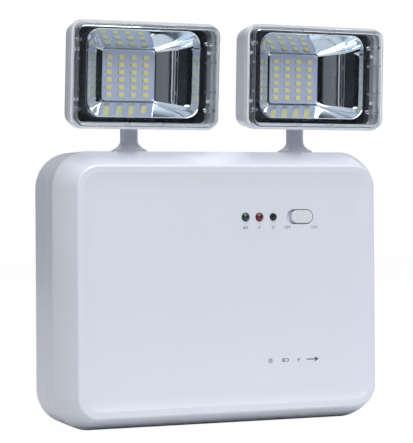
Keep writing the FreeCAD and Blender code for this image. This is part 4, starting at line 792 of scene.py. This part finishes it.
def cover_rings():
    """The cover's closed skin, and for each step between rings 1 for flat sheet or 0 for rounded edge."""
    rings = [cover_outline(0.0, COVER_FOOT)]
    kinds = []
    for angle in np.linspace(0.0, math.pi / 2, 7):
        inset = COVER_EDGE * (1 - math.cos(angle))
        rings.append(cover_outline(inset, COVER_FRONT - COVER_EDGE * (1 - math.sin(angle))))
        kinds.append(1 if angle == 0.0 else 0)
    inner = COVER_FRONT - COVER_WALL
    rings.append(cover_outline(COVER_EDGE, COVER_FRONT, PANE_CENTRE))
    rings.append(cover_outline(COVER_WALL, inner, PANE_CENTRE))
    rings.append(cover_outline(COVER_WALL + INNER_FILLET, inner))
    rings.append(cover_outline(COVER_WALL, inner - INNER_FILLET))
    rings.append(cover_outline(COVER_WALL, COVER_FOOT))
    kinds += [1, 1, 1, 0, 1, 1]
    return np.array(rings), np.array(kinds)


def cover_fittings():
    """Pegs beside the end walls and small ribs on all four walls, as stacks of rings."""
    top = COVER_FRONT - COVER_WALL - FITTING_GAP
    wall = (COVER_HALF[0] - COVER_WALL, COVER_HALF[1] - COVER_WALL)
    peg = (PEG_RADIUS, PEG_RADIUS, PEG_RADIUS - 0.01 * MM)
    end_rib = (*END_RIB, RIB_ROUND)
    long_rib = (*LONG_RIB, RIB_ROUND)
    stacks = []
    for side_u, side_z in ((-1, -1), (-1, 1), (1, -1), (1, 1)):
        for size, foot, u, z in (
            (peg, FITTING_FOOT, wall[0] - PEG_INSET, PEG_UP),
            (end_rib, FITTING_FOOT, wall[0] - END_RIB_INSET, END_RIB_UP),
            (long_rib, LONG_RIB_FOOT, LONG_RIB_ACROSS, wall[1] - LONG_RIB_INSET),
        ):
            tip = [value * POLE for value in size]
            outlines = [(*tip, foot), (*size, foot), (*size, top)]
            stacks.append(stack(outlines, points=6) + np.array([side_u * u, 0.0, side_z * z]))
    return stacks


for side in SIDES:
    skin, step_kinds = cover_rings()
    faces = grid_faces(len(skin), skin.shape[1], closed_rows=True)
    kinds = np.repeat(step_kinds, skin.shape[1])
    points, start = [skin.reshape(-1, 3)], skin.shape[0] * skin.shape[1]
    all_faces, all_kinds = [faces], [kinds]
    for part in cover_fittings():
        part_faces = stack_faces(len(part), part.shape[1]) + start
        points.append(part.reshape(-1, 3))
        all_faces.append(part_faces)
        all_kinds.append(np.zeros(len(part_faces), dtype=int))
        start += part.shape[0] * part.shape[1]
    points = np.concatenate(points) + np.array([0.0, 0.0, HEAD_CENTRE_UP])
    cover = mesh_piece(
        side + "_clear_cover",
        placed(head_matrix(side), points),
        np.concatenate(all_faces),
        [CLEAR, CLEAR_SHEET],
        np.concatenate(all_kinds),
        sharp_deg=35,
    )
    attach(cover, side + "_head")
    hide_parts(side + "_lens_cover")
print("cover faces", sum(len(part) for part in all_faces))

# %% [markdown]
# ## Panel corners
#
# At the four corners of the flat panel the dish is a quarter turn whose centre lies on the panel itself,
# so all its triangles meet in one point there and their shading has nothing to follow. The cover is
# copied with its triangles joined, and the shading at those four points is set straight ahead.

# %% Front cover with joined triangles
PANEL_SINK = 1.8 * MM  # the flat panel lies this far behind the rim's crest
PANEL_FACE = PANEL_FRONT + PANEL_SINK
CORNER_INSET = 21.0 * MM  # from the case's outline to the centre of each corner's turn
NEAR_CENTRE = 0.4 * MM


def corner_normals(mesh):
    """The shading direction at every corner of every face, as an array of rows."""
    rows = np.empty(len(mesh.loops) * 3, dtype=np.float32)
    mesh.corner_normals.foreach_get("vector", rows)
    return rows.reshape(-1, 3)


def corner_points(mesh):
    """The place of every corner of every face, as an array of rows."""
    places = np.empty(len(mesh.vertices) * 3, dtype=np.float32)
    mesh.vertices.foreach_get("co", places)
    index = np.empty(len(mesh.loops), dtype=np.int32)
    mesh.loops.foreach_get("vertex_index", index)
    return places.reshape(-1, 3)[index]


def off_centre(places, low, high):
    """How far each place lies from the nearer corner centre, along one axis."""
    middle = (low + high) / 2
    return np.abs(np.abs(places - middle) - (high - middle - CORNER_INSET))


def joined_copy(node, name):
    """A copy of a frame piece with its triangles joined and its shading carried over."""
    mesh = NODES[node].data.copy()
    mesh.name = name
    carried = mesh.attributes.new("carried_shading", "FLOAT_VECTOR", "CORNER")
    carried.data.foreach_set("vector", corner_normals(mesh).ravel())
    joined = bmesh.new()
    joined.from_mesh(mesh)
    bmesh.ops.remove_doubles(joined, verts=joined.verts, dist=1e-7)
    joined.to_mesh(mesh)
    joined.free()
    carried = mesh.attributes["carried_shading"]
    shading = np.empty(len(mesh.loops) * 3, dtype=np.float32)
    carried.data.foreach_get("vector", shading)
    mesh.attributes.remove(carried)
    made = bpy.data.objects.new(name, mesh)
    bpy.context.scene.collection.objects.link(made)
    return made, shading.reshape(-1, 3)


front_skin, shading = joined_copy("front_cover", "front_cover_skin")
places = corner_points(front_skin.data)
cover_low, cover_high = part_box("front_cover")
off_x, off_z = (off_centre(places[:, axis], cover_low[axis], cover_high[axis]) for axis in (0, 2))
on_panel = np.abs(places[:, 1] - PANEL_FACE) < NEAR_CENTRE
at_centre = on_panel & (np.hypot(off_x, off_z) < NEAR_CENTRE)
shading[at_centre] = (0.0, -1.0, 0.0)
front_skin.data.normals_split_custom_set(shading.tolist())
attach(front_skin, "base")
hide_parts("front_cover")
print("shading set ahead at", int(at_centre.sum()), "face corners")

# %% [markdown]
# ## Printed marks
#
# The small grey print by the controls is ink on the flat panel. The switch positions are plain words.
# The lamps and the button carry simple signs: a battery, a flash for the mains and a ring for the test.
# Ink has almost no height, so every mark is a thin plate whose back sits just inside the plastic.

# %% Printed marks
INK_THICKNESS = 0.04 * MM
MARK_UP = 114.2 * MM


def laid_on_panel(flat, centre_x, centre_z):
    """Points (x, z, out) around 0 carried to the panel: y = panel face - out."""
    return np.stack([flat[:, 0] + centre_x, PANEL_FACE - flat[:, 2], flat[:, 1] + centre_z], axis=1)


def plate(outline):
    """A closed thin plate from an outline (x, z) in metres, counter-clockwise as seen from the front."""
    outline = np.asarray(outline)
    count = len(outline)
    lift = np.repeat([INK_THICKNESS / 2, -INK_THICKNESS / 2], count)
    points = np.column_stack([np.tile(outline, (2, 1)), lift])
    index = np.arange(count)
    after = (index + 1) % count
    walls = np.stack([index, index + count, after + count, after], axis=1)
    return points, [index.tolist(), (index[::-1] + count).tolist(), *walls.tolist()]


def bar(low_x, low_z, high_x, high_z, turn_deg=0.0):
    """A rectangle in millimetres, turned about the mark's middle."""
    corners = np.array([(low_x, low_z), (high_x, low_z), (high_x, high_z), (low_x, high_z)]) * MM
    turn = math.radians(turn_deg)
    spin = np.array([[math.cos(turn), math.sin(turn)], [-math.sin(turn), math.cos(turn)]])
    return corners @ spin


def circle_bars(radius, width, count=20):
    """A ring of straight pieces, each a bar turned by its own step."""
    half = radius * math.tan(math.pi / count) + width / 3
    steps = np.arange(count) * 360.0 / count
    return [bar(-half, radius - width / 2, half, radius + width / 2, step) for step in steps]


def add_ink(name, mesh):
    """Makes a mark's mesh a grey piece that moves with the case."""
    mesh.materials.clear()
    mesh.materials.append(INK_GREY)
    made = bpy.data.objects.new(name, mesh)
    bpy.context.scene.collection.objects.link(made)
    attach(made, "base")


def add_plates(name, outlines, centre_x, centre_z):
    """One object from several plates."""
    points, faces, base = [], [], 0
    for outline in outlines:
        flat, plate_faces = plate(outline)
        points.append(laid_on_panel(flat, centre_x, centre_z))
        faces += [[corner + base for corner in face] for face in plate_faces]
        base += len(flat)
    mesh = bpy.data.meshes.new(name)
    mesh.from_pydata(np.concatenate(points).tolist(), [], faces)
    add_ink(name, mesh)


def add_word(name, word, centre_x, centre_z, size):
    """A word as thin letters: the text curve becomes a mesh and is then laid on the panel."""
    curve = bpy.data.curves.new(name, "FONT")
    curve.body = word
    curve.size = size
    curve.extrude = INK_THICKNESS / 2
    curve.resolution_u = 3
    text = bpy.data.objects.new(name + "_text", curve)
    bpy.context.scene.collection.objects.link(text)
    graph = bpy.context.evaluated_depsgraph_get()
    mesh = bpy.data.meshes.new_from_object(text.evaluated_get(graph))
    bpy.data.objects.remove(text)
    flat = np.empty(len(mesh.vertices) * 3, dtype=np.float32)
    mesh.vertices.foreach_get("co", flat)
    flat = flat.reshape(-1, 3)
    flat[:, :2] -= (flat[:, :2].max(axis=0) + flat[:, :2].min(axis=0)) / 2
    mesh.vertices.foreach_set("co", laid_on_panel(flat, centre_x, centre_z).astype(np.float32).ravel())
    joined = bmesh.new()
    joined.from_mesh(mesh)
    bmesh.ops.remove_doubles(joined, verts=joined.verts, dist=1e-7)
    bmesh.ops.recalc_face_normals(joined, faces=joined.faces)
    joined.to_mesh(mesh)
    joined.free()
    add_ink(name, mesh)


BATTERY_SIGN = [
    bar(-1.5, 0.45, 1.2, 0.65),
    bar(-1.5, -0.65, 1.2, -0.45),
    bar(-1.5, -0.45, -1.3, 0.45),
    bar(1.0, -0.45, 1.2, 0.45),
    bar(1.2, -0.25, 1.5, 0.25),
    bar(-1.1, -0.28, -0.1, 0.28),
]
FLASH = [(0.35, 1.0), (-0.6, -0.12), (-0.05, -0.12), (-0.35, -1.0), (0.6, 0.16), (0.05, 0.16)]
FLASH_SIGN = [np.array(FLASH) * MM]
TEST_SIGN = circle_bars(0.75, 0.22)
LAMP_SIGN = circle_bars(0.5, 0.25) + [bar(-0.1, 0.8, 0.1, 1.2, step) for step in range(0, 360, 45)]
ARROW_SIGN = [bar(-2.6, -0.22, 1.0, 0.22), np.array([(0.9, -1.0), (2.6, 0.0), (0.9, 1.0)]) * MM]
print("a battery sign has", len(BATTERY_SIGN), "plates and a lamp sign", len(LAMP_SIGN))

# %% [markdown]
# ## Placing the marks
#
# The signs under the controls stand below the lamp, lamp and button that they belong to. A row of larger
# signs fills the lower right of the panel, where such a unit carries a line of print.

# %% Marks on the panel
WORD_SIZE = 2.4 * MM
LOWER_ROW_UP = 37.0 * MM
LOWER_ROW_SCALE = 1.5
LOWER_ROW = {
    "lower_lamp_sign": (LAMP_SIGN, 25.0),
    "lower_battery_sign": (BATTERY_SIGN, 34.5),
    "lower_flash_sign": (FLASH_SIGN, 43.0),
    "lower_arrow_sign": (ARROW_SIGN, 52.0),
}
add_plates("battery_sign", BATTERY_SIGN, box_middle("green_indicator")[0], MARK_UP)
add_plates("mains_sign", FLASH_SIGN, box_middle("red_indicator")[0], MARK_UP)
add_plates("test_sign", TEST_SIGN, box_middle("test_button")[0], MARK_UP)
for name, (sign, across) in LOWER_ROW.items():
    add_plates(name, [outline * LOWER_ROW_SCALE for outline in sign], across * MM, LOWER_ROW_UP)
add_word("off_word", "OFF", 36.3 * MM, MARK_UP, WORD_SIZE)
add_word("on_word", "ON", 53.4 * MM, MARK_UP, WORD_SIZE)
print("printed marks laid on the panel")

# %% [markdown]
# ## What surrounds the object
#
# A mirror or a glossy panel only looks like itself when it has something to reflect. So the world answers
# each kind of ray by itself. The camera sees plain white. Diffuse light is one even, dim level. Reflections
# see a room: dark in front, bright at both sides, dimmer behind, with a bright ceiling and table top, a
# faint doorway and the thin edge of a window. Bearings are measured from straight in front.

# %% World
world = bpy.data.worlds.new("studio")
world.use_nodes = True
bpy.context.scene.world = world
tree = world.node_tree
background = tree.nodes["Background"]


def world_node(kind, **settings):
    """A new node of the world's tree, with its settings."""
    made = tree.nodes.new(kind)
    for setting, value in settings.items():
        setattr(made, setting, value)
    return made


def world_maths(operation, first, second):
    """The result of one Math node on two sockets or numbers."""
    made = world_node("ShaderNodeMath", operation=operation)
    for socket, value in zip(made.inputs, (first, second)):
        if isinstance(value, (int, float)):
            socket.default_value = value
        else:
            tree.links.new(value, socket)
    return made.outputs[0]


def world_ramp(value, start, end, low=0.0, high=1.0):
    """Low up to start, high from end on, smooth between them."""
    made = world_node("ShaderNodeMapRange", interpolation_type="SMOOTHSTEP")
    tree.links.new(value, made.inputs["Value"])
    for key, number in {"From Min": start, "From Max": end, "To Min": low, "To Max": high}.items():
        made.inputs[key].default_value = number
    return made.outputs[0]


def turn_ramp(value, start_deg, end_deg, low=0.0, high=1.0):
    """The same along a bearing given in degrees."""
    return world_ramp(value, math.radians(start_deg), math.radians(end_deg), low, high)


def turn_band(value, start_deg, end_deg, soft, level):
    """A bright band between two bearings in degrees, with edges that are soft by some radians."""
    start, end = math.radians(start_deg), math.radians(end_deg)
    rise = world_ramp(value, start - soft, start + soft)
    fall = world_ramp(value, end - soft, end + soft, 1.0, 0.0)
    return world_maths("MULTIPLY", world_maths("MULTIPLY", rise, fall), level)


AMBIENT = 0.20
REFLECTED_DARK, SIDE_GLOW, LESS_BEHIND = 0.010, 1.4, 1.12
CEILING_GLOW, TABLE_GLOW, HIGH_BEHIND_GLOW = 1.25, 1.25, 0.95
REFLECTION_TINT = (0.92, 0.955, 1.0, 1)
WHITE = (1, 1, 1, 1)
rays = world_node("ShaderNodeLightPath").outputs
direction = world_node("ShaderNodeTexCoord")
split = world_node("ShaderNodeSeparateXYZ")
tree.links.new(direction.outputs["Generated"], split.inputs[0])
rise = split.outputs["Z"]
forwards = world_maths("MULTIPLY", split.outputs["Y"], -1.0)
bearing = world_maths("ARCTAN2", split.outputs["X"], forwards)  # 0 in front, positive to the right
aside = world_maths("ABSOLUTE", bearing, 0.0)
sides = turn_ramp(aside, 72, 100, REFLECTED_DARK, SIDE_GLOW)
behind = turn_ramp(aside, 122, 142)
reflected = world_maths("SUBTRACT", sides, world_maths("MULTIPLY", behind, LESS_BEHIND))
for light in (
    world_ramp(rise, 0.42, 0.62, 0.0, CEILING_GLOW),
    world_maths("MULTIPLY", behind, world_ramp(rise, 0.25, 0.45, 0.0, HIGH_BEHIND_GLOW)),
    world_ramp(rise, -0.62, -0.40, TABLE_GLOW, 0.0),
    turn_band(bearing, -57, -34, 0.05, 0.20),
    turn_band(bearing, -63.5, -61.5, 0.01, 0.9),
):
    reflected = world_maths("MAXIMUM", reflected, light)
bent = world_maths("MAXIMUM", rays["Is Glossy Ray"], rays["Is Transmission Ray"])
bent_light = world_maths("MULTIPLY", bent, reflected)
diffuse = world_maths("MULTIPLY", rays["Is Diffuse Ray"], AMBIENT)
given = world_maths("MAXIMUM", bent_light, diffuse)
strength = world_maths("MAXIMUM", rays["Is Camera Ray"], given)
tree.links.new(strength, background.inputs["Strength"])
tint = world_node("ShaderNodeMix", data_type="RGBA")
tree.links.new(rays["Is Camera Ray"], tint.inputs["Factor"])
tint.inputs[6].default_value = REFLECTION_TINT
tint.inputs[7].default_value = WHITE
tree.links.new(tint.outputs[2], background.inputs["Color"])
print("world nodes:", len(tree.nodes))

# %% [markdown]
# ## The floor
#
# The floor is a pale sheet that gives light back to the case's underside. The camera sees it almost as
# white as the background, with a trace of the object's shadow left. It ends a little in front of the
# object, so that the lamp bowls reflect the room and not a sheet of white.

# %% Floor
FLOOR_HALF, FLOOR_FRONT = 3.0, -0.55
FLOOR_GREY = 0.82
WHITENED_SHARE = 0.985
floor_mesh = bpy.data.meshes.new("floor")
near, far = FLOOR_FRONT, FLOOR_HALF
corners = [(-FLOOR_HALF, near, 0), (FLOOR_HALF, near, 0), (FLOOR_HALF, far, 0), (-FLOOR_HALF, far, 0)]
floor_mesh.from_pydata(corners, [], [(0, 1, 2, 3)])
floor = bpy.data.objects.new("floor", floor_mesh)
bpy.context.scene.collection.objects.link(floor)
floor_finish = Finish("pale_floor")
floor_finish.set(Base_Color=(FLOOR_GREY, FLOOR_GREY, FLOOR_GREY, 1.0), Roughness=0.9)
seen = floor_finish.node("ShaderNodeLightPath", {}, {}, output="Is Camera Ray")
glow = floor_finish.node("ShaderNodeEmission", {}, {"Strength": 1.0})
blend = floor_finish.tree.nodes.new("ShaderNodeMixShader")
floor_finish.feed(blend.inputs["Fac"], seen * WHITENED_SHARE)
floor_finish.tree.links.new(floor_finish.shader.outputs[0], blend.inputs[1])
floor_finish.feed(blend.inputs[2], glow)
floor_output = floor_finish.tree.nodes["Material Output"]
floor_finish.tree.links.new(blend.outputs[0], floor_output.inputs["Surface"])
floor_mesh.materials.append(floor_finish.material)
print("floor from y =", near, "to", far)

# %% [markdown]
# ## The lamps
#
# One large soft box stands high in front and models the bevels. One overhead lights the tops. One behind
# keeps the back plain to see, and doesn't show in reflections, where it would glare along the top.

# %% Lamps
CENTRE = Vector((0.0, 0.0, 0.11))
SOFT_BOXES = {
    "key_soft_box": {"place": (-0.22, -1.62, 1.10), "size": 1.0, "watts": 15.5, "mirrored": True},
    "overhead_soft_box": {"place": (0.0, -0.42, 1.35), "size": 0.9, "watts": 11.5, "mirrored": True},
    "back_soft_box": {"place": (0.45, 1.45, 0.75), "size": 1.0, "watts": 13.0, "mirrored": False},
}
for name, box in SOFT_BOXES.items():
    data = bpy.data.lights.new(name, "AREA")
    data.shape = "SQUARE"
    data.size = box["size"]
    data.energy = box["watts"]
    lamp = bpy.data.objects.new(name, data)
    place = Vector(box["place"])
    lamp.matrix_world = Matrix.Translation(place) @ look_rotation(place, CENTRE, 0.0).to_4x4()
    lamp.visible_glossy = box["mirrored"]
    bpy.context.scene.collection.objects.link(lamp)
bpy.context.scene.view_settings.view_transform = "Standard"
print("soft boxes:", ", ".join(SOFT_BOXES))
